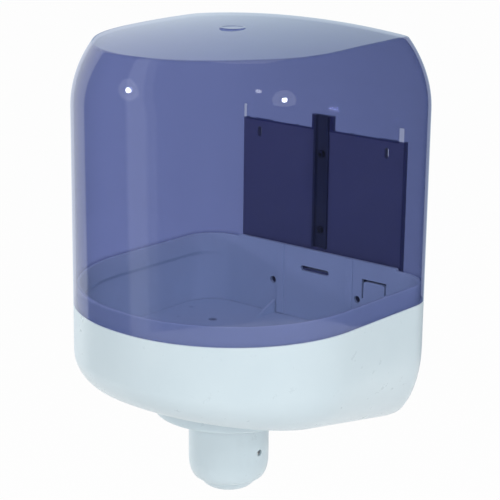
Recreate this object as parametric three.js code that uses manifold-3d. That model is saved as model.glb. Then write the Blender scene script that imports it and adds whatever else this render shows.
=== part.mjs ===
// Wall-mounted centrefeed roll dispenser, in millimetres.
// The wall is the plane y = 0, the front faces -y, +z is up, and z = 0 is the seam between hood and tray.
// Every piece but the back panel and its rail is drawn from the hood's rear plane, which stands off the wall.

import * as THREE from 'three';
import { ConvexGeometry } from 'three/addons/geometries/ConvexGeometry.js';
import { mergeVertices } from 'three/addons/utils/BufferGeometryUtils.js';
import Module from 'manifold-3d';

// Clearances
const fitGap = 0.3;
const slideGap = 0.5;
const overrun = 1;

// Plan outline of hood and tray
const wallStandoff = 4;
const planDepth = 230;
const planHalfWidth = 120;
const wallHalfWidth = 108.5;
const frontRadius = 152;
const sideRadius = 107;
const rollAxis = 114;

// Hood
const hoodWall = 2.5;
const crownHeight = 221.7;
const crownCentre = 89;
const crownFallSide = 9.4;
const crownFallEnd = 10;
const shoulderRadius = 70;
const shoulderFront = 13;
const shoulderCorner = 17.5;
const shoulderFlank = 12;
const shoulderWall = 20;
const gateRadius = 10;
const gateRise = 0.6;
const gateSink = 2;

// Lips that hang from the hood's rear wall in front of the panel's top edge
const lipHalfWidth = 80;
const lipDrop = 12;
const lipRise = 3;
const lipShoulder = 2;
const lipWall = 2.5;

// Brow over the right-hand lip, from its inner end to its outer end
const browInnerRise = 2;
const browStart = 25;
const browStartRise = 6;
const browEnd = 46;
const browEndRise = 6.5;
const browDepth = 0.9;

// Tray
const trayWall = 3;
const backWall = 3;
const backEdgeRise = 4.5;
const backRibX = 39;
const backRibHalf = 3.6;
const backRibDepth = 1.2;
const rimHeight = 20;
const rimWall = 2.4;
const joggleHeight = 4;
const uprightDepth = 38;
const bellyFront = 54;
const bellyRear = 109;
const roundFront = 14;
const roundRear = 69;

// Collar under the tray that seats the nozzle
const collarRadius = 61;
const collarWall = 2.5;
const collarDepth = 84;
const collarPlate = 4;
const collarRound = 3;
const collarRise = 22;

// Back panel
const panelTop = 137;
const panelHalfWidth = 86;
const panelReach = 0.8;
const panelPlate = 2.3;
const panelCorner = 3;
const panelEdge = 2.5;
const fieldHalfWidth = 20;
const fieldSlope = 9;
const fieldSink = 0.6;
const flangeReach = 2.7;
const flangeDrop = 30;
const ribWall = 1.8;
const ribSpacing = 28;
const ribRowLow = 58;
const ribRowHigh = 92;

// Wall fixings
const slotX = 66.5;
const slotZ = 117.5;
const slotWidth = 4.8;
const slotLength = 9;
const slotPadHalf = 7;
const holeX = 46;
const holeZ = -8;
const holeRadius = 3.1;
const levelSlotZ = 8;
const levelSlotLength = 31;
const levelSlotHeight = 4.5;

// Spring tongue cut in the tray's back wall
const tongueX = 64;
const tongueTop = 9;
const tongueWidth = 20;
const tongueLength = 15;
const tongueCut = 1.8;
const tongueWindow = 3;

// Centre rail
const railHalfWidth = 7.5;
const railWall = 2;
const railSeat = 1.7;
const railFloor = 1.5;
const railProud = 1;
const railBottom = 27;
const railScrewLow = 40;
const railScrewHigh = 104;

// Roll support with its funnel
const supportDepth = 35;
const supportPlate = 2.5;
const funnelTopRadius = 62;
const funnelRadius = 30;
const funnelWall = 2.2;
const funnelLip = 3;
const finX = 45;
const finWall = 2.5;
const finLength = 32;
const finHeight = 12;

// Posts under the roll support
const postRadius = 5;
const postX = 66;
const postFrontY = 166;
const postRearY = 58;

// Nozzle
const nozzleRadius = 32;
const nozzleWall = 2.5;
const nozzleFlange = 5;
const nozzleFlangeHeight = 2;
const nozzleDepth = 125;
const nozzleTaper = 6.5;
const nozzleTaperHeight = 16;

// Retaining ring that holds the nozzle's flange
const ringRadius = 53;
const ringCap = 2.5;
const ringChamfer = 2;
const ringOverlap = 3.5;
const ringScrewRadius = 47;
const lugReach = 4;
const lugAngle = 20;
const twistAngle = 35;
const lugFreeAngle = 2;

// Cup inside the nozzle
const cupWall = 2;
const cupTop = 98;
const cupDrop = 10;
const exitRadius = 11;

// Paper grip in the cup
const gripDepth = 134;
const gripPlate = 1.5;
const gripRadius = 25.2;
const gripHole = 6;
const gripSlit = 1.2;
const gripSlitEnd = 19;
const gripSlits = 6;

// Screws
const screwHeadRadius = 3.2;
const screwHeadHeight = 1.8;
const screwRadius = 1.5;
const screwLength = 5;
const longScrewLength = 8;
const railScrewLength = 3.4;
const pilotRadius = 1.8;
const headBoreRadius = 3.6;
const rearScrewX = 76;
const rearScrewZ = -18;
const ringScrewAngles = [90, 210, 330];
const sideScrewHead = 2.2;
const sideHoleRadius = 2.6;
const sideHoleRise = 1;

// Steps along the curves
const flankSteps = 3;
const sideSteps = 10;
const frontSteps = 5;
const backSteps = 6;
const shoulderSteps = 5;
const crownSteps = 3;
const bellySteps = 6;
const turnSteps = 36;
const holeSteps = 12;

const degree = Math.PI / 180;
const shoulderShares = [0, 0.35, 0.7, 1];
const shoulderInsets = [shoulderFront, shoulderCorner, shoulderFlank, shoulderWall];
const rimInset = hoodWall + slideGap;
const innerRimInset = rimInset + rimWall;
const backOuter = flangeReach + fitGap;
const backInner = backOuter + backWall;
const panelFace = -wallStandoff - panelReach;
const flangeFace = -wallStandoff - flangeReach;
const flangeHeight = rimHeight - fitGap;
const lipBack = -panelReach - fitGap;
const lipFront = lipBack - lipWall;
const sideHoleDepth = nozzleDepth - sideHoleRise;
const collarPlateTop = collarPlate - collarDepth;
const flangeBottom = collarPlateTop + fitGap;
const flangeTop = flangeBottom + nozzleFlangeHeight;
const ringTop = flangeTop + fitGap + ringCap;
const flangeRadius = nozzleRadius + nozzleFlange;
const lugRadius = flangeRadius + lugReach;

const wasm = await Module();
wasm.setup();

// Solids

function toSolid(geometry) {
  const bare = new THREE.BufferGeometry();
  bare.setAttribute('position', geometry.getAttribute('position').clone());
  bare.setIndex(geometry.index ? geometry.index.clone() : null);
  const merged = mergeVertices(bare);
  const triVerts = Uint32Array.from(merged.index.array);
  if (signedVolume(merged) < 0) triVerts.reverse();
  const vertProperties = Float32Array.from(merged.getAttribute('position').array);
  return new wasm.Manifold(new wasm.Mesh({ numProp: 3, vertProperties, triVerts }));
}

function signedVolume(geometry) {
  const points = geometry.getAttribute('position');
  const corner = [0, 1, 2].map(() => new THREE.Vector3());
  let volume = 0;
  for (let i = 0; i < geometry.index.count; i += 3) {
    corner.forEach((point, k) => point.fromBufferAttribute(points, geometry.index.getX(i + k)));
    volume += corner[0].dot(corner[1].clone().cross(corner[2])) / 6;
  }
  return volume;
}

function toMesh(name, solid, material) {
  const { vertProperties, triVerts, numProp } = solid.getMesh();
  const positions = [];
  for (let i = 0; i < vertProperties.length; i += numProp) {
    positions.push(...vertProperties.slice(i, i + 3));
  }
  const geometry = new THREE.BufferGeometry();
  geometry.setAttribute('position', new THREE.Float32BufferAttribute(positions, 3));
  geometry.setIndex(Array.from(triVerts));
  geometry.computeVertexNormals();
  const mesh = new THREE.Mesh(geometry, material);
  mesh.name = name;
  return mesh;
}

function block([x0, x1], [y0, y1], [z0, z1]) {
  const geometry = new THREE.BoxGeometry(x1 - x0, y1 - y0, z1 - z0);
  geometry.translate((x0 + x1) / 2, (y0 + y1) / 2, (z0 + z1) / 2);
  return toSolid(geometry);
}

// A closed profile of [radius, height] points turned about the vertical through (x, y)
function turned(profile, x = 0, y = 0, steps = turnSteps) {
  const points = profile.map(([r, z]) => new THREE.Vector2(r, z));
  if (profile.some(([r]) => r === 0) === false) points.push(points[0].clone());
  const geometry = new THREE.LatheGeometry(points, steps);
  geometry.rotateX(Math.PI / 2);
  geometry.translate(x, y, 0);
  return toSolid(geometry);
}

function post(radius, x, y, [z0, z1], steps = turnSteps) {
  return turned([[0, z0], [radius, z0], [radius, z1], [0, z1]], x, y, steps);
}

// A shape drawn in x and z, pushed from y0 to y1
function pushed(shape, [y0, y1]) {
  const curveSegments = holeSteps / 4;
  const geometry = new THREE.ExtrudeGeometry(shape, { depth: y1 - y0, bevelEnabled: false, curveSegments });
  geometry.rotateX(Math.PI / 2);
  geometry.translate(0, y1, 0);
  return toSolid(geometry);
}

// A section drawn in x and y, pushed up from z0 to z1
function raised(section, [z0, z1]) {
  const geometry = new THREE.ExtrudeGeometry(section, { depth: z1 - z0, bevelEnabled: false });
  geometry.translate(0, 0, z0);
  return toSolid(geometry);
}

// A section drawn in y and z, pushed across from x0 to x1
function spanned(section, [x0, x1]) {
  const geometry = new THREE.ExtrudeGeometry(section, { depth: x1 - x0, bevelEnabled: false });
  geometry.rotateX(Math.PI / 2).rotateZ(Math.PI / 2);
  geometry.translate(x0, 0, 0);
  return toSolid(geometry);
}

function polygon(points) {
  return new THREE.Shape(points.map(([u, v]) => new THREE.Vector2(u, v)));
}

// The two ends of a span on one side of the middle, lowest first
function sideSpan(side, inner, outer) {
  return side > 0 ? [inner, outer] : [-outer, -inner];
}

function roundedOutline([x0, x1], [z0, z1], r) {
  const shape = new THREE.Shape();
  shape.moveTo(x0 + r, z0);
  shape.lineTo(x1 - r, z0).absarc(x1 - r, z0 + r, r, -Math.PI / 2, 0);
  shape.lineTo(x1, z1 - r).absarc(x1 - r, z1 - r, r, 0, Math.PI / 2);
  shape.lineTo(x0 + r, z1).absarc(x0 + r, z1 - r, r, Math.PI / 2, Math.PI);
  shape.lineTo(x0, z0 + r).absarc(x0 + r, z0 + r, r, Math.PI, Math.PI * 1.5);
  return shape;
}

// A straight hole through the wall's thickness with half-round ends
function wallSlot(x, z, width, height, [y0, y1]) {
  const r = Math.min(width, height) / 2;
  const outline = roundedOutline([x - width / 2, x + width / 2], [z - height / 2, z + height / 2], r);
  return pushed(outline, [y0, y1]);
}

function union(first, ...others) {
  return others.reduce((sum, other) => sum.add(other), first);
}

function cut(first, ...others) {
  return others.reduce((rest, other) => rest.subtract(other), first);
}

// Plan outline: a front arc, two side arcs that touch it from inside, and straight flanks to the wall

function planStations() {
  const frontY = frontRadius - planDepth;
  const sideX = planHalfWidth - sideRadius;
  const sideY = frontY - Math.sqrt((frontRadius - sideRadius) ** 2 - sideX ** 2);
  const toCorner = Math.hypot(wallHalfWidth - sideX, sideY);
  const flankAngle = Math.atan2(-sideY, wallHalfWidth - sideX) - Math.acos(sideRadius / toCorner);
  const joinAngle = Math.atan2(sideY - frontY, sideX);
  const right = [];
  const station = (x, y, angle) => right.push({ x, y, nx: -Math.cos(angle), ny: -Math.sin(angle) });
  const flankEnd = {
    x: sideX + sideRadius * Math.cos(flankAngle),
    y: sideY + sideRadius * Math.sin(flankAngle),
  };
  for (let i = 0; i < flankSteps; i++) {
    const t = i / flankSteps;
    station(THREE.MathUtils.lerp(wallHalfWidth, flankEnd.x, t), flankEnd.y * t, flankAngle);
  }
  for (let i = 0; i < sideSteps; i++) {
    const angle = THREE.MathUtils.lerp(flankAngle, joinAngle, i / sideSteps);
    station(sideX + sideRadius * Math.cos(angle), sideY + sideRadius * Math.sin(angle), angle);
  }
  for (let i = 0; i <= frontSteps; i++) {
    const angle = THREE.MathUtils.lerp(joinAngle, -Math.PI / 2, i / frontSteps);
    station(frontRadius * Math.cos(angle), frontY + frontRadius * Math.sin(angle), angle);
  }
  return withShares(right, Math.tan(flankAngle));
}

// Mirrors the right half and gives each station its share of the way from the front centre to the wall
function withShares(right, flankSlope) {
  let run = 0;
  right.forEach((s, i) => {
    run += i ? Math.hypot(s.x - right[i - 1].x, s.y - right[i - 1].y) : 0;
    s.run = run;
  });
  right.forEach((s) => Object.assign(s, { share: 1 - s.run / run, slope: flankSlope }));
  const left = right.map((s) => ({ ...s, x: -s.x, nx: -s.nx, slope: -flankSlope }));
  return [...left, ...right.slice(0, -1).reverse()];
}

const stations = planStations();
const wallStation = stations[0];

// One closed ring: the stations moved in by inset, then the straight back edge at y = backY
function ring(backY, inset, height) {
  const points = stations.map((s) => {
    const point = new THREE.Vector3(s.x + s.nx * inset(s), s.y + s.ny * inset(s), 0);
    if (s.share === 1) {
      point.x += s.slope * (point.y - backY);
      point.y = backY;
    }
    point.z = height(s, point.x, point.y);
    return point;
  });
  const [first, last] = [points[0], points.at(-1)];
  for (let i = 1; i < backSteps; i++) {
    const x = THREE.MathUtils.lerp(last.x, first.x, i / backSteps);
    points.push(new THREE.Vector3(x, backY, height(wallStation, x, backY)));
  }
  return points;
}

// Rings from the bottom up, joined by quads, each end closed by a fan
function loft(rings) {
  const count = rings[0].length;
  const points = rings.flat();
  const index = [];
  for (let level = 0; level < rings.length - 1; level++) {
    for (let i = 0; i < count; i++) {
      const [a, b] = [level * count + i, level * count + ((i + 1) % count)];
      index.push(a, b, b + count, a, b + count, a + count);
    }
  }
  const bottom = points.length;
  points.push(middle(rings[0]), middle(rings.at(-1)));
  const top = (rings.length - 1) * count;
  for (let i = 0; i < count; i++) {
    const next = (i + 1) % count;
    index.push(bottom, next, i, bottom + 1, top + i, top + next);
  }
  const geometry = new THREE.BufferGeometry().setFromPoints(points);
  geometry.setIndex(index);
  return toSolid(geometry);
}

function middle(points) {
  return points.reduce((sum, p) => sum.add(p), new THREE.Vector3()).divideScalar(points.length);
}

// Hood

function crown(x, y) {
  const side = crownFallSide * (x / planHalfWidth) ** 2;
  const end = crownFallEnd * ((y + crownCentre) / (planDepth / 2)) ** 2;
  return crownHeight - side - end;
}

function shoulderInset(s) {
  const i = Math.max(1, shoulderShares.findIndex((share) => share >= s.share));
  const t = (s.share - shoulderShares[i - 1]) / (shoulderShares[i] - shoulderShares[i - 1]);
  const eased = (1 - Math.cos(Math.PI * t)) / 2;
  return THREE.MathUtils.lerp(shoulderInsets[i - 1], shoulderInsets[i], eased);
}

// Outside of the hood, or its inside where wall is the thickness
function hoodForm(wall, bottom) {
  const rings = [ring(-wall, () => wall, () => bottom)];
  const drop = (s) => Math.sqrt(2 * shoulderRadius * shoulderInset(s) - shoulderInset(s) ** 2);
  for (let i = 0; i <= shoulderSteps; i++) {
    const angle = (s) => Math.asin(drop(s) / shoulderRadius) * i / shoulderSteps;
    const inset = (s) => shoulderRadius - (shoulderRadius - wall) * Math.cos(angle(s));
    const fall = i < shoulderSteps ? (s) => wall * Math.sin(angle(s)) : () => wall;
    const rise = (s) => shoulderRadius * Math.sin(angle(s)) - drop(s) - fall(s);
    rings.push(ring(-wall, inset, (s, x, y) => crown(x, y) + rise(s)));
  }
  const crease = rings.at(-1);
  for (let i = crownSteps - 1; i > 0; i--) {
    rings.push(crease.map((point) => {
      const x = point.x * i / crownSteps;
      const y = THREE.MathUtils.lerp(-crownCentre, point.y, i / crownSteps);
      return new THREE.Vector3(x, y, crown(x, y) - wall);
    }));
  }
  return loft(rings);
}

// One side's lip, with a top that slopes back to the rear wall
function hoodLip(side) {
  const section = polygon([
    [lipFront, panelTop - lipDrop], [lipBack, panelTop - lipDrop], [lipBack, panelTop + lipRise],
    [-hoodWall, panelTop + lipRise], [lipFront, panelTop - lipShoulder],
  ]);
  return spanned(section, sideSpan(side, railHalfWidth + slideGap, lipHalfWidth));
}

// A low swelling on the rear wall over the right-hand lip
function hoodBrow() {
  const outline = [
    [railHalfWidth + slideGap, browInnerRise], [browStart, browStartRise],
    [browEnd, browEndRise], [lipHalfWidth, browInnerRise],
  ];
  const corners = outline.flatMap(([x, rise]) => [
    new THREE.Vector3(x, lipFront, panelTop - lipShoulder),
    new THREE.Vector3(x, lipFront + browDepth, panelTop + rise),
    new THREE.Vector3(x, lipBack, panelTop + rise),
    new THREE.Vector3(x, lipBack, panelTop - lipShoulder),
  ]);
  return toSolid(new ConvexGeometry(corners));
}

function hood(material) {
  const shell = hoodForm(0, fitGap).subtract(hoodForm(hoodWall, -overrun));
  const edge = panelHalfWidth + slideGap;
  const doorway = block([-edge, edge], [-hoodWall - overrun, overrun], [-overrun, panelTop + fitGap]);
  const top = crown(0, -rollAxis);
  const gate = post(gateRadius, 0, -rollAxis, [top - gateSink, top + gateRise]);
  return toMesh('hood', union(cut(shell, doorway), hoodLip(-1), hoodLip(1), hoodBrow(), gate), material);
}

// Tray

function bellyHeight(y) {
  return -THREE.MathUtils.lerp(bellyRear, bellyFront, -y / planDepth);
}

function bellyRings(backY, wall) {
  const rings = [];
  const reach = (s) => THREE.MathUtils.lerp(roundRear, roundFront, -s.y / planDepth) - wall;
  for (let i = bellySteps; i >= 0; i--) {
    const angle = Math.PI / 2 * i / bellySteps;
    const inset = (s) => wall + reach(s) * (1 - Math.cos(angle));
    const depth = (y) => (bellyHeight(y) + wall + uprightDepth) * Math.sin(angle);
    rings.push(ring(backY, inset, (s, x, y) => depth(y) - uprightDepth));
  }
  return rings;
}

function trayOutside() {
  return loft([
    ...bellyRings(0, 0),
    ring(0, () => 0, () => 0),
    ring(-backOuter, () => rimInset, () => 0),
    ring(-backOuter, () => rimInset, () => rimHeight),
  ]);
}

function trayInside() {
  return loft([
    ...bellyRings(-backInner, trayWall),
    ring(-backInner, () => trayWall, () => -joggleHeight),
    ring(-backInner, () => innerRimInset, () => rimInset - joggleHeight),
    ring(-backInner, () => innerRimInset, () => rimHeight + overrun),
  ]);
}

// Ring wall and floor that drop below the belly and seat the nozzle level
function collar() {
  const bottom = -collarDepth;
  const top = bottom + collarRise;
  const inside = collarRadius - collarWall;
  const bore = nozzleRadius + slideGap;
  return turned([
    [bore, bottom], [collarRadius - collarRound, bottom], [collarRadius, bottom + collarRound],
    [collarRadius, top], [inside, top], [inside, collarPlateTop], [bore, collarPlateTop],
  ], 0, -rollAxis);
}

function postPlaces() {
  return [-1, 1].flatMap((side) => [postFrontY, postRearY].map((y) => [side * postX, -y]));
}

// The tongue stays joined at its foot: the cut runs up one side, across the top and down the other
function tongueCutter(ys) {
  const xs = [tongueX - tongueWidth / 2, tongueX + tongueWidth / 2];
  const foot = tongueTop - tongueLength;
  const outer = block([xs[0] - tongueCut, xs[1] + tongueCut], ys, [foot, tongueTop + tongueCut]);
  return outer.subtract(block(xs, ys, [foot - overrun, tongueTop]));
}

function fixingCutters(ys) {
  return [
    wallSlot(0, levelSlotZ, levelSlotLength, levelSlotHeight, ys),
    wallSlot(-holeX, holeZ, holeRadius * 2, holeRadius * 2, ys),
    wallSlot(holeX, holeZ, holeRadius * 2, holeRadius * 2, ys),
  ];
}

function screwBore(x, y, top, depth) {
  return post(pilotRadius, x, y, [top - depth, top + overrun], holeSteps);
}

// The part of the back wall that stands above the rim, and two shallow ribs on its front
function backWallExtras() {
  const top = rimHeight + backEdgeRise;
  const edge = block([-panelHalfWidth, panelHalfWidth], [-backInner, -backOuter], [rimHeight - overrun, top]);
  const ribs = [-1, 1].map((side) => block(
    sideSpan(side, backRibX - backRibHalf, backRibX + backRibHalf),
    [-backInner - backRibDepth, -backInner + overrun], [slideGap - supportDepth, top],
  ));
  return [edge, ...ribs];
}

function tray(material) {
  const outside = trayOutside();
  const bowl = outside.subtract(trayInside());
  const wellTop = collarRise - collarDepth + overrun;
  const well = post(collarRadius - collarWall / 2, 0, -rollAxis, [-bellyRear - overrun, wellTop]);
  const skirt = turned([
    [collarRadius - collarWall, -bellyRear], [collarRadius, -bellyRear],
    [collarRadius, collarPlateTop], [collarRadius - collarWall, collarPlateTop],
  ], 0, -rollAxis).intersect(outside);
  const postTop = -supportDepth - supportPlate - fitGap;
  const posts = postPlaces().map(([x, y]) => (
    post(postRadius, x, y, [-bellyRear, postTop], holeSteps).intersect(outside)
  ));
  const throughBack = [-backInner - backRibDepth - overrun, overrun];
  const edge = panelHalfWidth + fitGap;
  return toMesh('tray', cut(
    union(bowl.subtract(well), skirt, collar(), ...posts, ...backWallExtras()),
    block([-edge, edge], [-backOuter, overrun], [-flangeDrop - fitGap, overrun]),
    ...fixingCutters(throughBack),
    tongueCutter(throughBack),
    ...postPlaces().map(([x, y]) => screwBore(x, y, postTop, longScrewLength)),
    ...ringScrewPlaces().map(([x, y]) => screwBore(x, y - rollAxis, collarPlateTop, screwLength - ringCap)),
    ...rearBores([fitGap - backInner, overrun], pilotRadius),
  ), material);
}

// Back panel, from the wall plane

function rearBores(ys, radius) {
  return [-rearScrewX, rearScrewX].map((x) => wallSlot(x, rearScrewZ, radius * 2, radius * 2, ys));
}

// The hollows in the panel's rear, between the edge, the ribs and the pads behind the slots and the rail
function panelCells() {
  const outerX = panelHalfWidth - panelEdge;
  const upright = [railHalfWidth + panelEdge, ribSpacing, ribSpacing * 2, outerX + ribWall / 2];
  const level = [flangeHeight + ribWall / 2, ribRowLow, ribRowHigh, panelTop - panelEdge + ribWall / 2];
  return [-1, 1].flatMap((side) => [0, 1, 2].flatMap((i) => [0, 1, 2].map((k) => block(
    sideSpan(side, upright[i] + ribWall / 2, upright[i + 1] - ribWall / 2),
    [panelFace + panelPlate, overrun],
    [level[k] + ribWall / 2, level[k + 1] - ribWall / 2],
  ))));
}

function slotPads() {
  return [-slotX, slotX].map((x) => block(
    [x - slotPadHalf, x + slotPadHalf], [panelFace + panelPlate / 2, 0],
    [slotZ - slotPadHalf - slotWidth / 2, panelTop - panelEdge / 2],
  ));
}

// The middle of the panel's face lies a little deeper, with sloping sides
function fieldCutter() {
  const section = polygon([
    [-fieldHalfWidth - fieldSlope, panelFace], [-fieldHalfWidth, panelFace + fieldSink],
    [fieldHalfWidth, panelFace + fieldSink], [fieldHalfWidth + fieldSlope, panelFace],
    [fieldHalfWidth + fieldSlope, panelFace - overrun], [-fieldHalfWidth - fieldSlope, panelFace - overrun],
  ]);
  return raised(section, [flangeHeight, panelTop + overrun]);
}

function backPanel(material) {
  const xs = [-panelHalfWidth, panelHalfWidth];
  const outline = roundedOutline(xs, [-flangeDrop, panelTop], panelCorner);
  const flange = block(xs, [flangeFace, 0], [panelCorner - flangeDrop, flangeHeight]);
  const channel = railHalfWidth + fitGap;
  const through = [flangeFace - overrun, overrun];
  const solid = cut(pushed(outline, [panelFace, 0]), fieldCutter(), ...panelCells());
  return toMesh('back_panel', cut(
    union(solid, flange, ...slotPads()),
    block([-channel, channel], [panelFace - overrun, -railSeat], [railBottom - fitGap, panelTop + overrun]),
    ...[-slotX, slotX].map((x) => wallSlot(x, slotZ, slotWidth, slotLength, through)),
    ...fixingCutters(through),
    tonguePocket(),
    ...[railScrewLow, railScrewHigh].map((z) => (
      wallSlot(0, z, pilotRadius * 2, pilotRadius * 2, [-railSeat - overrun, overrun])
    )),
    ...rearBores(through, pilotRadius),
    ...rearBores([-screwHeadHeight - fitGap, overrun], headBoreRadius),
  ), material);
}

// Room behind the tongue, so that it can flex towards the wall
function tonguePocket() {
  const half = tongueWidth / 2 + tongueWindow;
  return block([tongueX - half, tongueX + half], [flangeFace - overrun, -railSeat],
    [tongueTop - tongueLength, tongueTop + tongueWindow]);
}

// Centre rail: a channel, open to the front, let into the panel between the hood's two lips
function centreRail(material) {
  const back = -railSeat - fitGap;
  const floor = back - railFloor;
  const front = panelFace - railProud;
  const inner = railHalfWidth - railWall;
  const section = polygon([
    [-railHalfWidth, back], [railHalfWidth, back], [railHalfWidth, front], [inner, front],
    [inner, floor], [-inner, floor], [-inner, front], [-railHalfWidth, front],
  ]);
  const holes = [railScrewLow, railScrewHigh].map((z) => (
    wallSlot(0, z, pilotRadius * 2, pilotRadius * 2, [floor - overrun, back + overrun])
  ));
  return toMesh('centre_rail', cut(raised(section, [railBottom, panelTop]), ...holes), material);
}

// Roll support: a level floor with a funnel in the middle and two fins at the back
function rollSupport(material) {
  const top = -supportDepth;
  const bottom = top - supportPlate;
  const inset = () => trayWall + slideGap;
  const backY = -backInner - slideGap;
  const floor = loft([ring(backY, inset, () => bottom), ring(backY, inset, () => top)]);
  const mouth = post(funnelTopRadius + funnelLip / 2, 0, -rollAxis, [bottom - overrun, top + overrun]);
  const funnelBottom = ringTop + fitGap;
  const funnel = turned([
    [funnelTopRadius, top], [funnelTopRadius + funnelLip, top], [funnelTopRadius + funnelLip, bottom],
    [funnelRadius + funnelWall, funnelBottom], [funnelRadius, funnelBottom],
  ], 0, -rollAxis);
  const fins = [-finX, finX].map((x) => fin(x, backY, bottom));
  const holes = postPlaces().flatMap(([x, y]) => [
    post(pilotRadius, x, y, [bottom - overrun, top + overrun], holeSteps),
    post(headBoreRadius, x, y, [top - screwHeadHeight, top + overrun], holeSteps),
  ]);
  return toMesh('roll_support', cut(union(floor.subtract(mouth), funnel, ...fins), ...holes), material);
}

function fin(x, backY, bottom) {
  const foot = bottom + supportPlate / 2;
  const peak = bottom + supportPlate + finHeight;
  const outline = polygon([[backY, foot], [backY, peak], [backY - finLength, foot]]);
  return spanned(outline, [x - finWall / 2, x + finWall / 2]);
}

// Nozzle, about its own axis

function taper(outerShift, steps = bellySteps) {
  const base = nozzleRadius - nozzleTaper - outerShift;
  return Array.from({ length: steps + 1 }, (_, i) => {
    const angle = Math.PI / 2 * i / steps;
    return [base + nozzleTaper * Math.cos(angle), -nozzleDepth - nozzleTaperHeight * Math.sin(angle)];
  });
}

// A wedge of the flange's ring between two angles, in degrees from +x
function wedge(inner, outer, [from, to], [z0, z1]) {
  const shape = new THREE.Shape();
  shape.absarc(0, 0, outer, from * degree, to * degree, false);
  shape.absarc(0, 0, inner, to * degree, from * degree, true);
  const depth = z1 - z0;
  const geometry = new THREE.ExtrudeGeometry(shape, { depth, bevelEnabled: false, curveSegments: holeSteps });
  geometry.translate(0, 0, z0);
  return toSolid(geometry);
}

// A bore along x through both sides
function crossBore(radius, depth) {
  const geometry = new THREE.CylinderGeometry(radius, radius, (nozzleRadius + overrun) * 2, holeSteps);
  geometry.rotateZ(Math.PI / 2);
  geometry.translate(0, 0, -depth);
  return toSolid(geometry);
}

function nozzleSleeve(material) {
  const bore = nozzleRadius - nozzleWall;
  const body = turned([
    [bore, flangeTop], [flangeRadius, flangeTop], [flangeRadius, flangeBottom], [nozzleRadius, flangeBottom],
    ...taper(0), ...taper(nozzleWall).reverse(),
  ]);
  const lug = wedge(nozzleRadius - nozzleWall / 2, lugRadius, [0, lugAngle], [flangeBottom, flangeTop]);
  return toMesh('nozzle_sleeve', cut(union(body, lug), crossBore(sideHoleRadius, sideHoleDepth)), material);
}

function cupProfile(shift, exit) {
  const tip = -nozzleDepth - nozzleTaperHeight - cupDrop;
  const neck = taper(shift);
  const [mouthRadius, mouthZ] = neck.at(-1);
  const reach = tip + shift - nozzleWall - fitGap - mouthZ;
  const dome = Array.from({ length: bellySteps }, (_, i) => {
    const angle = Math.PI / 2 * (i + 1) / bellySteps;
    return [exit + (mouthRadius - exit) * Math.cos(angle), mouthZ + reach * Math.sin(angle)];
  });
  return [...neck, ...dome];
}

function nozzleCup(material) {
  const outer = cupProfile(nozzleWall + fitGap, exitRadius);
  const inner = cupProfile(nozzleWall + fitGap + cupWall, exitRadius).reverse();
  const body = turned([[inner.at(-1)[0], -cupTop], [outer[0][0], -cupTop], ...outer, ...inner]);
  return toMesh('nozzle_cup', body.subtract(crossBore(pilotRadius, sideHoleDepth)), material);
}

function paperGrip(material) {
  const disc = turned([
    [gripHole, -gripDepth], [gripRadius, -gripDepth],
    [gripRadius, gripPlate - gripDepth], [gripHole, gripPlate - gripDepth],
  ]);
  const slits = Array.from({ length: gripSlits }, (_, i) => {
    const slit = new THREE.BoxGeometry(gripSlitEnd, gripSlit, gripPlate + overrun * 2);
    slit.translate(gripSlitEnd / 2, 0, gripPlate / 2 - gripDepth);
    slit.rotateZ(Math.PI * 2 * i / gripSlits);
    return toSolid(slit);
  });
  return toMesh('paper_grip', cut(disc, ...slits), material);
}

function ringScrewPlaces() {
  return ringScrewAngles.map((angle) => [
    ringScrewRadius * Math.cos(angle * degree), ringScrewRadius * Math.sin(angle * degree),
  ]);
}

function nozzleRing(material) {
  const seat = flangeRadius + slideGap;
  const bottom = flangeBottom;
  const capBottom = flangeTop + fitGap;
  const body = turned([
    [seat, bottom], [ringRadius, bottom],
    [ringRadius, ringTop - ringChamfer], [ringRadius - ringChamfer, ringTop],
    [flangeRadius - ringOverlap, ringTop], [flangeRadius - ringOverlap, capBottom], [seat, capBottom],
  ]);
  const window = wedge(flangeRadius - overrun, lugRadius + slideGap,
    [-lugFreeAngle, lugAngle + twistAngle + lugFreeAngle], [bottom - overrun, capBottom]);
  const holes = ringScrewPlaces().map(([x, y]) => (
    post(pilotRadius, x, y, [bottom - overrun, ringTop + overrun], holeSteps)
  ));
  return toMesh('nozzle_ring', cut(body, window, ...holes), material);
}

// Screws, head up, with the underside of the head at the origin

function screw(name, length, material, headRadius = screwHeadRadius, radius = screwRadius) {
  const edge = screwHeadHeight / 3;
  const solid = turned([
    [0, -length], [radius, -length], [radius, 0], [headRadius, 0], [headRadius, screwHeadHeight - edge],
    [headRadius - edge, screwHeadHeight], [0, screwHeadHeight],
  ], 0, 0, holeSteps);
  return toMesh(name, solid, material);
}

function place(mesh, x, y, z, turnX = 0, turnY = 0) {
  mesh.position.set(x, y, z);
  mesh.rotation.set(turnX, turnY, 0);
  return mesh;
}

// Assembly

function plastic(color, roughness, more = {}) {
  return new THREE.MeshStandardMaterial({ color, roughness, metalness: 0, ...more });
}

const whitePlastic = () => plastic(0xd9e4e8, 0.3);
const navyPlastic = () => plastic(0x343a66, 0.45);
const steel = () => new THREE.MeshStandardMaterial({ color: 0xb6babf, roughness: 0.35, metalness: 1 });

function panelUnit() {
  const unit = new THREE.Group();
  unit.add(backPanel(navyPlastic()), centreRail(plastic(0x1c2246, 0.4)));
  const railHead = -railSeat - railFloor - fitGap * 2;
  const railScrew = (name, z) => place(screw(name, railScrewLength, steel()), 0, railHead, z, Math.PI / 2);
  unit.add(railScrew('rail_screw_lower', railScrewLow), railScrew('rail_screw_upper', railScrewHigh));
  const rearScrew = (name, x) => (
    place(screw(name, screwLength, steel()), x, -screwHeadHeight, rearScrewZ, -Math.PI / 2)
  );
  unit.add(rearScrew('panel_screw_left', -rearScrewX), rearScrew('panel_screw_right', rearScrewX));
  return unit;
}

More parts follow.
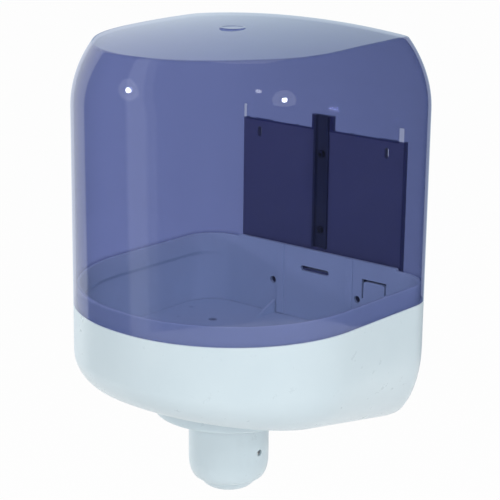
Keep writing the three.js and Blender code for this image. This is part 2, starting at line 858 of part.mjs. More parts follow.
function trayUnit() {
  const unit = new THREE.Group();
  unit.add(tray(whitePlastic()), rollSupport(whitePlastic()));
  const seat = fitGap - supportDepth - screwHeadHeight;
  postPlaces().forEach(([x, y], i) => {
    unit.add(place(screw(`support_screw_${i + 1}`, longScrewLength, steel()), x, y, seat));
  });
  return unit;
}

function nozzleUnit() {
  const unit = new THREE.Group();
  unit.position.set(0, -rollAxis, 0);
  unit.add(nozzleRing(whitePlastic()));
  ringScrewPlaces().forEach(([x, y], i) => {
    unit.add(place(screw(`ring_screw_${i + 1}`, screwLength, steel()), x, y, ringTop + fitGap));
  });
  unit.add(nozzleSleeve(whitePlastic()), nozzleCup(whitePlastic()), paperGrip(plastic(0x3a4048, 0.7)));
  const seat = nozzleRadius - nozzleWall;
  const sideScrew = (name, side) => place(
    screw(name, nozzleWall, steel(), sideScrewHead), side * seat, 0, -sideHoleDepth, 0, side * Math.PI / 2,
  );
  unit.add(sideScrew('nozzle_screw_right', 1), sideScrew('nozzle_screw_left', -1));
  return unit;
}

function standingOff(...pieces) {
  const unit = new THREE.Group();
  unit.position.set(0, -wallStandoff, 0);
  unit.add(...pieces);
  return unit;
}

const dispenser = new THREE.Group();
const hoodPlastic = plastic(0x8f9cd0, 0.08, { transparent: true, opacity: 0.45 });
dispenser.add(panelUnit(), standingOff(trayUnit(), nozzleUnit(), hood(hoodPlastic)));

export default dispenser;
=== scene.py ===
"""Wall-hung centrefeed roll dispenser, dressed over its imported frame. Lengths are in metres."""

import logging
import math
from abc import ABC, abstractmethod
from collections.abc import Callable, Iterable, Sequence
from dataclasses import dataclass, field, replace
from enum import Enum
from typing import Any

import bmesh
import bpy
from mathutils import Matrix, Vector


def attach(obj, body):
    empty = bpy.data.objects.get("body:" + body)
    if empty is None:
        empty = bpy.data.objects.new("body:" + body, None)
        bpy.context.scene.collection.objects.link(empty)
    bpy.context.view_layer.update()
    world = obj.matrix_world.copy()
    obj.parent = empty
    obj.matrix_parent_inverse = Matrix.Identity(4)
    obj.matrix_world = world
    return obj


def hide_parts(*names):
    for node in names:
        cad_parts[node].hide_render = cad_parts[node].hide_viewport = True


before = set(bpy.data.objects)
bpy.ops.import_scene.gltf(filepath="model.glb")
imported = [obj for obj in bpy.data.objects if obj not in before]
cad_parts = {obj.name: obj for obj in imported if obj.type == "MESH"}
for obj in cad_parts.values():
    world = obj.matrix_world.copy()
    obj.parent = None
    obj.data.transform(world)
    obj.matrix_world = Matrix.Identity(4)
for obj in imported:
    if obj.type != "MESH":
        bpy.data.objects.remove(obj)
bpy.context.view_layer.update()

LOG = logging.getLogger("dispenser")
MM = 0.001
EASE_SHARE = 0.45
EASE_ANGLE = math.radians(155)
DOUBLE = 1e-7

Flat = tuple[float, float]
Span = tuple[float, float]
Spot = tuple[float, float, float]
Color = tuple[float, float, float, float]
Ring = list[Vector]
Bands = list[tuple[Ring, float]]
Socket = bpy.types.NodeSocket


class CadBody(Enum):
    """The bodies that pieces ride on."""

    WALL_UNIT = "wall_unit"
    HOOD = "hood"
    NOZZLE = "nozzle"


class Operation(Enum):
    """How one body changes another."""

    JOIN = "UNION"
    CUT = "DIFFERENCE"
    SHARE = "INTERSECT"


class Plane(Enum):
    """The plane that an outline is drawn in."""

    XY = "xy"
    XZ = "xz"
    YZ = "yz"


def srgb(red: float, green: float, blue: float) -> Color:
    """Turns a screen colour into the linear colour that shaders take.

    Args:
        red: Red from 0 to 255.
        green: Green from 0 to 255.
        blue: Blue from 0 to 255.

    Returns:
        The linear colour with an alpha of 1.
    """
    linear = [
        c / 12.92 if c <= 0.04045 else ((c + 0.055) / 1.055) ** 2.4
        for c in (red / 255, green / 255, blue / 255)
    ]
    return (linear[0], linear[1], linear[2], 1.0)


def placed(name: str, data: bpy.types.ID) -> bpy.types.Object:
    """Makes an object of a mesh, a lamp or a camera and links it to the scene.

    Args:
        name: The object's name.
        data: What it shows.

    Returns:
        The object.
    """
    made = bpy.data.objects.new(name, data)
    bpy.context.scene.collection.objects.link(made)
    return made


def mix(start: float, end: float, share: float) -> float:
    """Returns the number that lies share of the way from start to end."""
    return start + (end - start) * share


class Wires:
    """Adds nodes to a tree and joins them."""

    def __init__(self, tree: bpy.types.NodeTree) -> None:
        """Keeps the tree, which starts empty."""
        self.tree = tree
        tree.nodes.clear()

    def node(
        self, kind: str, inputs: dict[str | int, Any] | None = None, **settings: Any
    ) -> bpy.types.Node:
        """Adds one node.

        Args:
            kind: The node's type name.
            inputs: A value or a socket for each input, by name or number.
            **settings: The node's own settings.

        Returns:
            The new node.
        """
        made = self.tree.nodes.new(kind)
        for name, value in settings.items():
            setattr(made, name, value)
        for name, value in (inputs or {}).items():
            if isinstance(value, bpy.types.NodeSocket):
                self.tree.links.new(value, made.inputs[name])
            else:
                made.inputs[name].default_value = value
        return made

    def number(self, operation: str, *terms: Any) -> Socket:
        """Adds a Math node.

        Args:
            operation: The Math node's operation.
            *terms: Its numbers or sockets, in order.

        Returns:
            The result's socket.
        """
        made = self.node("ShaderNodeMath", dict(enumerate(terms)), operation=operation)
        return made.outputs[0]

    def noise(self, place: Socket, scale: float, detail: float, roughness: float = 0.5) -> Socket:
        """Adds a noise texture.

        Args:
            place: The coordinates that it is laid in.
            scale: How fine it is.
            detail: How many finer layers it has.
            roughness: How much each finer layer counts.

        Returns:
            The noise's socket, about 0.5 on average.
        """
        return self.node("ShaderNodeTexNoise", {
            "Vector": place, "Scale": scale, "Detail": detail, "Roughness": roughness,
        }).outputs["Fac"]

    def mapped(self, value: Socket, source: Span, target: Span = (0.0, 1.0), ease: str = "LINEAR") -> Socket:
        """Adds a Map Range node.

        Args:
            value: The number to map.
            source: Where it starts and ends.
            target: What it becomes there.
            ease: How it runs between the two.

        Returns:
            The mapped number's socket.
        """
        return self.node("ShaderNodeMapRange", {
            "Value": value, "From Min": source[0], "From Max": source[1],
            "To Min": target[0], "To Max": target[1],
        }, interpolation_type=ease).outputs["Result"]

    def relief(self, height: Socket, strength: float, depth: float) -> Socket:
        """Adds a Bump node and returns its normal."""
        return self.node("ShaderNodeBump", {
            "Strength": strength, "Distance": depth, "Height": height,
        }).outputs["Normal"]

    def blend(self, share: Socket, first: Socket, second: Socket) -> Socket:
        """Mixes two shaders, the second by share, and returns the mix."""
        return self.node("ShaderNodeMixShader", {0: share, 1: first, 2: second}).outputs[0]

    def along(self, way: Socket, axis: Spot) -> Socket:
        """Returns how far a vector reaches along an axis."""
        return self.node("ShaderNodeVectorMath", {0: way, 1: axis}, operation="DOT_PRODUCT").outputs["Value"]


# Shapes


def quarter(centre: Flat, reach: float, rise: float, steps: int) -> list[Flat]:
    """Makes a quarter of an oval.

    Args:
        centre: Its middle.
        reach: How far out it starts.
        rise: How far up it ends, or down where it is below 0.
        steps: How many edges it has.

    Returns:
        Its points from the start.
    """
    turns = [math.pi / 2 * i / steps for i in range(steps + 1)]
    return [(centre[0] + reach * math.cos(t), centre[1] + rise * math.sin(t)) for t in turns]


def eased_outline(points: Sequence[Flat], reach: float, closed: bool = True, steps: int = 3) -> list[Flat]:
    """Rounds the corners of a flat outline.

    Args:
        points: The corners in order.
        reach: How far from a corner its curve starts and ends.
        closed: Whether the last point joins the first.
        steps: How many edges each curve has.

    Returns:
        The rounded outline.
    """
    rounded: list[Flat] = []
    for i, corner in enumerate(points):
        here = Vector(corner)
        ways = [Vector(points[(i + k) % len(points)]) - here for k in (-1, 1)]
        end = not closed and i in (0, len(points) - 1)
        if end or min(way.length for way in ways) == 0 or ways[0].angle(ways[1]) > EASE_ANGLE:
            rounded.append(corner)
            continue
        first, last = (here + way * min(reach / way.length, EASE_SHARE) for way in ways)
        for k in range(steps + 1):
            t = k / steps
            point = first * (1 - t) ** 2 + here * 2 * t * (1 - t) + last * t * t
            rounded.append((point[0], point[1]))
    return rounded


def eased_rings(rings: Bands, steps: int = 4) -> list[Ring]:
    """Rounds the edges between rings.

    Args:
        rings: Each ring with how far from it its curve starts and ends, or 0 for none.
        steps: How many bands each curve has.

    Returns:
        The rings, with a run of them in place of each rounded one.
    """
    made: list[Ring] = []
    for i, (ring, reach) in enumerate(rings):
        if reach == 0 or i in (0, len(rings) - 1):
            made.append(ring)
            continue
        for k in range(steps + 1):
            t = k / steps
            band = []
            for j, here in enumerate(ring):
                ways = [rings[i + n][0][j] - here for n in (-1, 1)]
                first, last = (here + way * min(reach / max(way.length, 1e-9), EASE_SHARE) for way in ways)
                band.append(first * (1 - t) ** 2 + here * 2 * t * (1 - t) + last * t * t)
            made.append(band)
    return made


class Body:
    """A closed mesh body, which others can be joined to or cut from."""

    def __init__(self, mesh: bpy.types.Mesh) -> None:
        """Takes over the mesh and turns its faces outwards."""
        self.mesh = mesh
        shape = bmesh.new()
        shape.from_mesh(mesh)
        bmesh.ops.recalc_face_normals(shape, faces=shape.faces)
        shape.to_mesh(mesh)
        shape.free()

    @classmethod
    def of(cls, points: Iterable[Sequence[float]], faces: Iterable[Sequence[int]]) -> "Body":
        """Makes a body of points and faces."""
        mesh = bpy.data.meshes.new("body")
        mesh.from_pydata([tuple(p) for p in points], [], [tuple(f) for f in faces])
        return cls(mesh)

    @classmethod
    def lofted(cls, rings: Sequence[Ring]) -> "Body":
        """Joins rings by bands and closes both ends by fans.

        Args:
            rings: Rings of as many points each, in order.

        Returns:
            The closed body.
        """
        count = len(rings[0])
        points = [point for ring in rings for point in ring]
        faces: list[tuple[int, ...]] = []
        for level in range(len(rings) - 1):
            for i in range(count):
                a, b = level * count + i, level * count + (i + 1) % count
                faces.append((a, b, b + count, a + count))
        for ring, start, step in ((rings[0], 0, -1), (rings[-1], (len(rings) - 1) * count, 1)):
            hub = len(points)
            points.append(sum(ring, Vector()) / count)
            for i in range(count):
                pair = (start + i, start + (i + 1) % count)
                faces.append((hub, *pair[::step]))
        return cls.of(points, faces)

    @classmethod
    def prism(cls, outline: Sequence[Flat], plane: Plane, span: Span) -> "Body":
        """Pushes a flat outline straight through.

        Args:
            outline: Its corners in the plane's two axes.
            plane: The plane it is drawn in.
            span: Where it starts and ends along the third axis.

        Returns:
            The closed body.
        """
        places: dict[Plane, Callable[[float, float, float], Spot]] = {
            Plane.XY: lambda u, v, w: (u, v, w),
            Plane.XZ: lambda u, v, w: (u, w, v),
            Plane.YZ: lambda u, v, w: (w, u, v),
        }
        count = len(outline)
        points = [places[plane](u, v, w) for w in span for u, v in outline]
        sides = [(i, (i + 1) % count, (i + 1) % count + count, i + count) for i in range(count)]
        return cls.of(points, [tuple(range(count)), tuple(range(count, 2 * count)), *sides])

    @classmethod
    def block(cls, xs: Span, ys: Span, zs: Span) -> "Body":
        """Makes a block between three pairs of planes."""
        corners = [(xs[0], ys[0]), (xs[1], ys[0]), (xs[1], ys[1]), (xs[0], ys[1])]
        return cls.prism(corners, Plane.XY, zs)

    @classmethod
    def round_slot(cls, centre: Flat, size: Flat, ys: Span, steps: int = 10) -> "Body":
        """Makes a straight pin with half-round ends that runs along y.

        Args:
            centre: Its middle in x and z.
            size: Its width and height.
            ys: Where it starts and ends.
            steps: How many edges each half-round end has.

        Returns:
            The closed body.
        """
        radius = min(size) / 2
        reach = (size[0] / 2 - radius, size[1] / 2 - radius)
        outline = []
        for turn, (sx, sz) in enumerate(((1, 1), (-1, 1), (-1, -1), (1, -1))):
            for k in range(steps // 2 + 1):
                angle = math.pi / 2 * (turn + k / (steps // 2))
                outline.append((
                    centre[0] + sx * reach[0] + radius * math.cos(angle),
                    centre[1] + sz * reach[1] + radius * math.sin(angle),
                ))
        return cls.prism(_without_doubles(outline), Plane.XZ, ys)

    def _combined(self, operation: Operation, others: Iterable["Body"]) -> "Body":
        """Joins, cuts or shares this body with each other one in turn."""
        mesh = self.mesh
        for other in others:
            target, tool = (placed("work", m) for m in (mesh, other.mesh))
            change = target.modifiers.new("change", "BOOLEAN")
            change.operation, change.solver, change.object = operation.value, "MANIFOLD", tool
            mesh = evaluated_mesh(target)
            bpy.data.objects.remove(target)
            bpy.data.objects.remove(tool)
        return Body(mesh)

    def joined(self, *others: "Body") -> "Body":
        """Returns this body with the others joined on."""
        return self._combined(Operation.JOIN, others)

    def cut(self, *others: "Body") -> "Body":
        """Returns this body with the others cut out."""
        return self._combined(Operation.CUT, others)

    def shared(self, other: "Body") -> "Body":
        """Returns what this body and the other have in common."""
        return self._combined(Operation.SHARE, [other])

    def moved(self, x: float, y: float, z: float) -> "Body":
        """Moves this body and returns it."""
        for vertex in self.mesh.vertices:
            vertex.co += Vector((x, y, z))
        return self


def _without_doubles(outline: Sequence[Flat]) -> list[Flat]:
    """Returns the outline with each point that repeats the one before it left out."""
    return [p for i, p in enumerate(outline) if math.dist(p, outline[i - 1]) > DOUBLE]


def evaluated_mesh(source: bpy.types.Object) -> bpy.types.Mesh:
    """Returns the object's mesh with its modifiers applied."""
    graph = bpy.context.evaluated_depsgraph_get()
    return bpy.data.meshes.new_from_object(source.evaluated_get(graph))


def geometry_tree(name: str, sockets: dict[str, str]) -> tuple[bpy.types.NodeTree, dict[str, str]]:
    """Starts a Geometry Nodes tree with a Geometry input and output.

    Args:
        name: The tree's name.
        sockets: The type of each further input, by name.

    Returns:
        The tree, and each further input's identifier by name.
    """
    tree = bpy.data.node_groups.new(name, "GeometryNodeTree")
    tree.interface.new_socket("Geometry", in_out="INPUT", socket_type="NodeSocketGeometry")
    found = {
        label: tree.interface.new_socket(label, in_out="INPUT", socket_type=kind).identifier
        for label, kind in sockets.items()
    }
    tree.interface.new_socket("Geometry", in_out="OUTPUT", socket_type="NodeSocketGeometry")
    return tree, found


def run_tree(
    mesh: bpy.types.Mesh, tree: bpy.types.NodeTree, found: dict[str, str], values: dict[str, Any]
) -> bpy.types.Mesh:
    """Runs a Geometry Nodes tree on a mesh.

    Args:
        mesh: What the tree starts from.
        tree: The tree.
        found: The identifier of each input, by name.
        values: The value of each input, by name.

    Returns:
        A plain mesh of the result.
    """
    holder = placed("work", mesh)
    modifier = holder.modifiers.new("tree", "NODES")
    modifier.node_group = tree
    for name, value in values.items():
        modifier[found[name]] = value
    made = evaluated_mesh(holder)
    holder.modifiers.remove(modifier)
    bpy.data.objects.remove(holder)
    return made


class Lathe:
    """Turns profiles about an upright axis with one Geometry Nodes tree."""

    def __init__(self) -> None:
        """Builds the tree: a grid whose rows take the profile's radius and height."""
        self.tree, self.inputs = geometry_tree(
            "turned form", {"Steps": "NodeSocketInt", "Material": "NodeSocketMaterial"}
        )
        wires = Wires(self.tree)
        given = wires.node("NodeGroupInput")
        profile, steps = given.outputs["Geometry"], given.outputs["Steps"]
        count = wires.node("GeometryNodeAttributeDomainSize", {0: profile}, component="MESH")
        columns = wires.number("ADD", steps, 1.0)
        grid = wires.node(
            "GeometryNodeMeshGrid", {"Vertices X": count.outputs["Point Count"], "Vertices Y": columns}
        )
        index = wires.node("GeometryNodeInputIndex").outputs[0]
        row = wires.number("FLOOR", wires.number("DIVIDE", index, columns))
        column = wires.number("SUBTRACT", index, wires.number("MULTIPLY", row, columns))
        position = wires.node("GeometryNodeInputPosition").outputs[0]
        sample = wires.node("GeometryNodeSampleIndex", data_type="FLOAT_VECTOR", domain="POINT")
        self.tree.links.new(profile, sample.inputs["Geometry"])
        self.tree.links.new(position, sample.inputs["Value"])
        self.tree.links.new(row, sample.inputs["Index"])
        spot = wires.node("ShaderNodeSeparateXYZ", {0: sample.outputs[0]})
        angle = wires.number("MULTIPLY", wires.number("DIVIDE", column, steps), 2 * math.pi)
        place = wires.node("ShaderNodeCombineXYZ", {
            0: wires.number("MULTIPLY", spot.outputs[0], wires.number("COSINE", angle)),
            1: wires.number("MULTIPLY", spot.outputs[0], wires.number("SINE", angle)),
            2: spot.outputs[2],
        })
        moved = wires.node(
            "GeometryNodeSetPosition", {"Geometry": grid.outputs["Mesh"], "Position": place.outputs[0]}
        )
        closed = wires.node("GeometryNodeMergeByDistance", {"Geometry": moved.outputs[0], "Distance": 1e-6})
        whole = wires.node("GeometryNodeRealizeInstances", {"Geometry": closed.outputs[0]})
        dressed = wires.node(
            "GeometryNodeSetMaterial",
            {"Geometry": whole.outputs[0], "Material": given.outputs["Material"]},
        )
        wires.node("NodeGroupOutput", {"Geometry": dressed.outputs[0]})

    def body(
        self, profile: Sequence[Flat], centre: Flat = (0.0, 0.0), closed: bool = True, steps: int = 96
    ) -> Body:
        """Turns one profile.

        Args:
            profile: Radius and height of each of its points.
            centre: Where the axis stands in x and y.
            closed: Whether the profile's last point joins its first.
            steps: How many edges the round has.

        Returns:
            The closed body.
        """
        points = [*profile, profile[0]] if closed else profile
        mesh = bpy.data.meshes.new("profile")
        mesh.from_pydata([(r, 0.0, z) for r, z in points], [], [])
        made = run_tree(mesh, self.tree, self.inputs, {"Steps": steps})
        made.materials.clear()
        return Body(made).moved(centre[0], centre[1], 0.0)

    def post(self, radius: float, centre: Flat, zs: Span, steps: int = 48) -> Body:
        """Turns a plain upright pin."""
        profile = [(0.0, zs[0]), (radius, zs[0]), (radius, zs[1]), (0.0, zs[1])]
        return self.body(profile, centre, closed=False, steps=steps)


# Finishes


@dataclass(frozen=True)
class Finish(ABC):
    """What a piece's surface is made of."""

    name: str
    slot: str

    @abstractmethod
    def wire(self, wires: Wires) -> Socket:
        """Builds the shader and returns its socket."""

    def material(self) -> bpy.types.Material:
        """Returns the material, made on first use."""
        found = bpy.data.materials.get(self.name)
        if found:
            return found
        made = bpy.data.materials.new(self.name)
        made.use_nodes = True
        wires = Wires(made.node_tree)
        wires.node("ShaderNodeOutputMaterial", {"Surface": self.wire(wires)})
        return made


@dataclass(frozen=True)
class MouldedPlastic(Finish):
    """Opaque injection-moulded plastic with a fine grain and faint flow clouds."""

    light: Color
    dark: Color
    roughness: Span
    grain: float = 0.06
    grain_scale: float = 1400.0
    grain_depth: float = 0.2 * MM
    cloud_scale: float = 16.0
    scuff_scale: float = 90.0
    edges: Span = (0.3, 0.7)
    refraction: float = 1.49

    def wire(self, wires: Wires) -> Socket:
        """Builds the shader.

        Args:
            wires: The material's wires.

        Returns:
            The shader's socket.
        """
        place = wires.node("ShaderNodeTexCoord").outputs["Object"]
        tone = wires.node("ShaderNodeValToRGB", {"Fac": wires.noise(place, self.cloud_scale, 4.0)})
        for stop, edge, color in zip(tone.color_ramp.elements, self.edges, (self.dark, self.light)):
            stop.position, stop.color = edge, color
        scuff = wires.noise(place, self.scuff_scale, 6.0, 0.7)
        grain = wires.noise(place, self.grain_scale, 2.0)
        return wires.node("ShaderNodeBsdfPrincipled", {
            "Base Color": tone.outputs["Color"], "IOR": self.refraction,
            "Roughness": wires.mapped(scuff, self.edges, self.roughness),
            "Normal": wires.relief(grain, self.grain, self.grain_depth),
        }).outputs[0]


@dataclass(frozen=True)
class ClearPlastic(Finish):
    """Tinted see-through plastic. Each surface passes the root of what a wall passes.

    The deeper tint towards +x and below the bead is painted shade, and the tint is deepest where the wall is
    seen edge-on. Light that goes through to what lies inside takes a tint of its own.
    """

    tint: Color
    # painted shade: the side and skirt tints darken the wall towards +x and below the bead
    shade_side_tint: Color
    shade_skirt_tint: Color
    edge_tint: Color
    light_tint: Color
    haze: Color
    haze_share: Span = (0.004, 0.015)
    haze_edges: Span = (0.4, 0.8)
    # where the painted shade runs in across x and down below the bead
    shade_side_span: Span = (-0.11, 0.09)
    shade_skirt_span: Span = (0.0165, 0.0145)
    edge_power: float = 4.0
    shine: float = 0.04
    shine_power: float = 5.0
    inner_gloss: float = 0.25
    polish: Span = (0.02, 0.05)
    polish_edges: Span = (0.35, 0.75)
    smear_scale: float = 34.0
    ripple_scale: float = 9.0
    ripple: float = 0.08
    ripple_depth: float = 0.6 * MM

    def _through(self, wires: Wires, place: Socket, edge_on: Socket) -> Socket:
        """Builds the part that lets light through.

        Args:
            wires: The material's wires.
            place: The object's coordinates.
            edge_on: How far the surface turns away from the viewer.

        Returns:
            The shader's socket.
        """
        plain, side, skirt, edge, light = (
            wires.node("ShaderNodeBsdfTransparent", {"Color": tint}).outputs[0]
            for tint in (self.tint, self.shade_side_tint, self.shade_skirt_tint, self.edge_tint, self.light_tint)
        )
        split = wires.node("ShaderNodeSeparateXYZ", {"Vector": place}).outputs
        # painted shade: the tint deepens towards +x and below the bead
        wall = wires.blend(wires.mapped(split["X"], self.shade_side_span), plain, side)
        wall = wires.blend(wires.mapped(split["Z"], self.shade_skirt_span), wall, skirt)
        seen = wires.blend(wires.number("POWER", edge_on, self.edge_power), wall, edge)
        path = wires.node("ShaderNodeLightPath").outputs
        inwards = wires.number("MAXIMUM", path["Is Shadow Ray"], path["Is Diffuse Ray"])
        return wires.blend(inwards, seen, light)

    def _mirror(self, wires: Wires, edge_on: Socket) -> Socket:
        """Works out how much the surface mirrors, which is less where it lies behind another one.

        Args:
            wires: The material's wires.
            edge_on: How far the surface turns away from the viewer.

        Returns:
            The mirrored share's socket.
        """
        turned = wires.number("POWER", edge_on, self.shine_power)
        outer = wires.number("MULTIPLY_ADD", turned, 1.0 - self.shine, self.shine)
        passed = wires.node("ShaderNodeLightPath").outputs["Transparent Depth"]
        behind = wires.number("MINIMUM", passed, 1.0)
        dimmed = wires.number("MULTIPLY_ADD", behind, self.inner_gloss - 1.0, 1.0)
        return wires.number("MULTIPLY", outer, dimmed)

    def wire(self, wires: Wires) -> Socket:
        """Builds the shader.

        Args:
            wires: The material's wires.

        Returns:
            The shader's socket.
        """
        place = wires.node("ShaderNodeTexCoord").outputs["Object"]
        edge_on = wires.node("ShaderNodeLayerWeight", {"Blend": 0.5}).outputs["Facing"]
        smear = wires.noise(place, self.smear_scale, 6.0, 0.65)
        ripple = wires.noise(place, self.ripple_scale, 1.0)
        gloss = wires.node("ShaderNodeBsdfAnisotropic", {
            "Color": PURE_WHITE, "Roughness": wires.mapped(smear, self.polish_edges, self.polish),
            "Normal": wires.relief(ripple, self.ripple, self.ripple_depth),
        }).outputs[0]
        clear = wires.blend(self._mirror(wires, edge_on), self._through(wires, place, edge_on), gloss)
        dull = wires.node("ShaderNodeBsdfDiffuse", {"Color": self.haze}).outputs[0]
        return wires.blend(wires.mapped(smear, self.haze_edges, self.haze_share), clear, dull)


@dataclass(frozen=True)
class PlatedSteel(Finish):
    """Zinc-plated steel with fine drawn streaks."""

    color: Color
    streak_scale: float = 900.0
    roughness: Span = (0.22, 0.42)
    streak: float = 0.15
    streak_depth: float = 0.05 * MM

    def wire(self, wires: Wires) -> Socket:
        """Builds the shader.

        Args:
            wires: The material's wires.

        Returns:
            The shader's socket.
        """
        place = wires.node("ShaderNodeTexCoord").outputs["Object"]
        streak = wires.noise(place, self.streak_scale, 3.0)
        return wires.node("ShaderNodeBsdfPrincipled", {
            "Base Color": self.color, "Metallic": 1.0,
            "Roughness": wires.mapped(streak, (0.0, 1.0), self.roughness),
            "Normal": wires.relief(streak, self.streak, self.streak_depth),
        }).outputs[0]


PURE_WHITE = (1.0, 1.0, 1.0, 1.0)
WHITE = MouldedPlastic(
    "white moulded plastic", "white_plastic", srgb(212, 226, 232), srgb(207, 222, 229), (0.26, 0.36)
)
PANEL = MouldedPlastic(
    "panel plastic", "navy_plastic", srgb(88, 90, 124), srgb(82, 85, 119), (0.38, 0.5), grain=0.03
)
RAIL = MouldedPlastic(
    "rail plastic", "rail_plastic", srgb(34, 42, 74), srgb(29, 36, 66), (0.34, 0.46), grain=0.03
)
RUBBER = MouldedPlastic(
    "grip rubber", "grip_rubber", srgb(66, 70, 76), srgb(58, 62, 68), (0.6, 0.75), grain=0.2
)
STEEL = PlatedSteel("plated screw steel", "screw_steel", srgb(206, 208, 210))
BLACK_STEEL = PlatedSteel("blackened screw steel", "screw_steel", srgb(44, 48, 72))
CLEAR = ClearPlastic(
    # shade_side_tint and shade_skirt_tint are painted shade, darker towards +x and below the bead
    "tinted clear plastic", "clear_hood", tint=(0.675, 0.71, 0.874, 1.0), shade_side_tint=(0.595, 0.63, 0.775, 1.0),
    shade_skirt_tint=(0.5, 0.54, 0.7, 1.0), edge_tint=(0.36, 0.42, 0.6, 1.0),
    light_tint=(0.89, 0.865, 0.96, 1.0), haze=srgb(150, 156, 190),
)


@dataclass
class Piece:
    """One finished piece of the dispenser."""

    name: str
    body: Body
    finish: Finish
    rides: CadBody
    stands_for: tuple[str, ...]
    edge: float = 0.0
    smooth: float = 32.0

    def build(self) -> bpy.types.Object:
        """Puts the piece in the scene, dressed and riding on its body.

        Returns:
            The piece's object.
        """
        mesh = self.body.mesh
        mesh.name = self.name
        piece = placed(self.name, mesh)
        mesh.materials.clear()
        mesh.materials.append(self.finish.material())
        for polygon in mesh.polygons:
            polygon.material_index = 0
        if self.edge:
            bevel = piece.modifiers.new("edges", "BEVEL")
            bevel.width, bevel.segments = self.edge, 2
            bevel.limit_method, bevel.angle_limit = "ANGLE", math.radians(40)
            bevel.use_clamp_overlap = True
            rounded = evaluated_mesh(piece)
            piece.modifiers.remove(bevel)
            piece.data = rounded
            bpy.data.meshes.remove(mesh)
            rounded.name = self.name
        piece.data.shade_smooth()
        piece.data.set_sharp_from_angle(angle=math.radians(self.smooth))
        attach(piece, self.rides.value)
        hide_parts(*self.stands_for)
        nodes = ", ".join(self.stands_for)
        LOG.info("%s: %d faces, stands for %s", self.name, len(piece.data.polygons), nodes)
        return piece


# Plan outline, shared by hood, tray and roll support


@dataclass(frozen=True)
class Station:
    """One point of the plan outline, with its share of the way from the front centre to the wall."""

    side: int
    angle: float
    centre: Flat = (0.0, 0.0)
    radius: float = 0.0
    rear: bool = False
    along: float = 0.0
    y: float = 0.0
    share: float = 0.0


@dataclass
class Plan:
    """A front arc, two side arcs that touch it from inside, straight flanks and round rear corners."""

    depth: float = 0.234
    half_width: float = 0.120
    front_radius: float = 0.154
    side_radius: float = 0.115
    corner_radius: float = 0.032
    corner_least: float = 0.003
    axis_y: float = -0.114
    standoff: float = 0.004
    corner_steps: int = 14
    flank_steps: int = 12
    side_steps: int = 44
    front_steps: int = 22
    back_steps: int = 30
    stations: list[Station] = field(init=False)

    def __post_init__(self) -> None:
        """Lays out the stations."""
        self.front_y = self.front_radius - self.depth
        self.side_x = self.half_width - self.side_radius
        gap = self.front_radius - self.side_radius
        self.side_y = self.front_y - math.sqrt(gap ** 2 - self.side_x ** 2)
        self.stations = self._laid_out()

    def _right_half(self) -> list[Station]:
        """Returns the stations from the rear plane to the front centre on the right."""
        join = math.atan2(self.side_y - self.front_y, self.side_x)
        made = [
            Station(1, math.pi / 2 * (1 - i / self.corner_steps), rear=True) for i in range(self.corner_steps)
        ]
        made += [Station(1, 0.0, rear=True, along=i / self.flank_steps) for i in range(self.flank_steps)]
        made += [
            Station(1, join * i / self.side_steps, (self.side_x, self.side_y), self.side_radius)
            for i in range(self.side_steps)
        ]
        made += [
            Station(1, mix(join, -math.pi / 2, i / self.front_steps), (0.0, self.front_y), self.front_radius)
            for i in range(self.front_steps + 1)
        ]
        return made

    def _laid_out(self) -> list[Station]:
        """Returns the stations from the rear left round the front to the rear right."""
        right = self._right_half()
        spots = [self.point(s, 0.0, 0.0) for s in right]
        runs = [0.0]
        for a, b in zip(spots, spots[1:]):
            runs.append(runs[-1] + math.dist(a, b))
        right = [
            replace(s, y=spot[1], share=1 - run / runs[-1]) for s, spot, run in zip(right, spots, runs)
        ]
        left = [replace(s, side=-1) for s in right]
        return left + right[-2::-1]

    def point(self, s: Station, inset: float, back_y: float) -> Flat:
        """Moves a station inwards.

        Args:
            s: The station.
            inset: How far it moves.
            back_y: Where the rear plane lies.

        Returns:
            Its place in x and y, before the stand-off from the wall.
        """
        if not s.rear:
            reach = s.radius - inset
            return (
                s.side * (s.centre[0] + reach * math.cos(s.angle)), s.centre[1] + reach * math.sin(s.angle)
            )
        r = max(self.corner_radius - inset, self.corner_least)
        x = self.half_width - inset - r + r * math.cos(s.angle)
        return (s.side * x, mix(back_y - r, self.side_y, s.along) + r * math.sin(s.angle))

    def ring(
        self, back_y: float, inset: Callable[[Station], float],
        height: Callable[[Station, float, float], float],
    ) -> Ring:
        """Makes one closed ring.

        Args:
            back_y: Where its straight back edge lies.
            inset: How far each station moves inwards.
            height: The height of a point, from its station, x and y.

        Returns:
            The ring's points, moved off the wall.
        """
        row = [(s, *self.point(s, inset(s), back_y)) for s in self.stations]
        (wall, left, _), (_, right, _) = row[0], row[-1]
        row += [
            (wall, mix(right, left, i / self.back_steps), back_y) for i in range(1, self.back_steps)
        ]
        return [Vector((x, y - self.standoff, height(s, x, y))) for s, x, y in row]


# Sub-assemblies


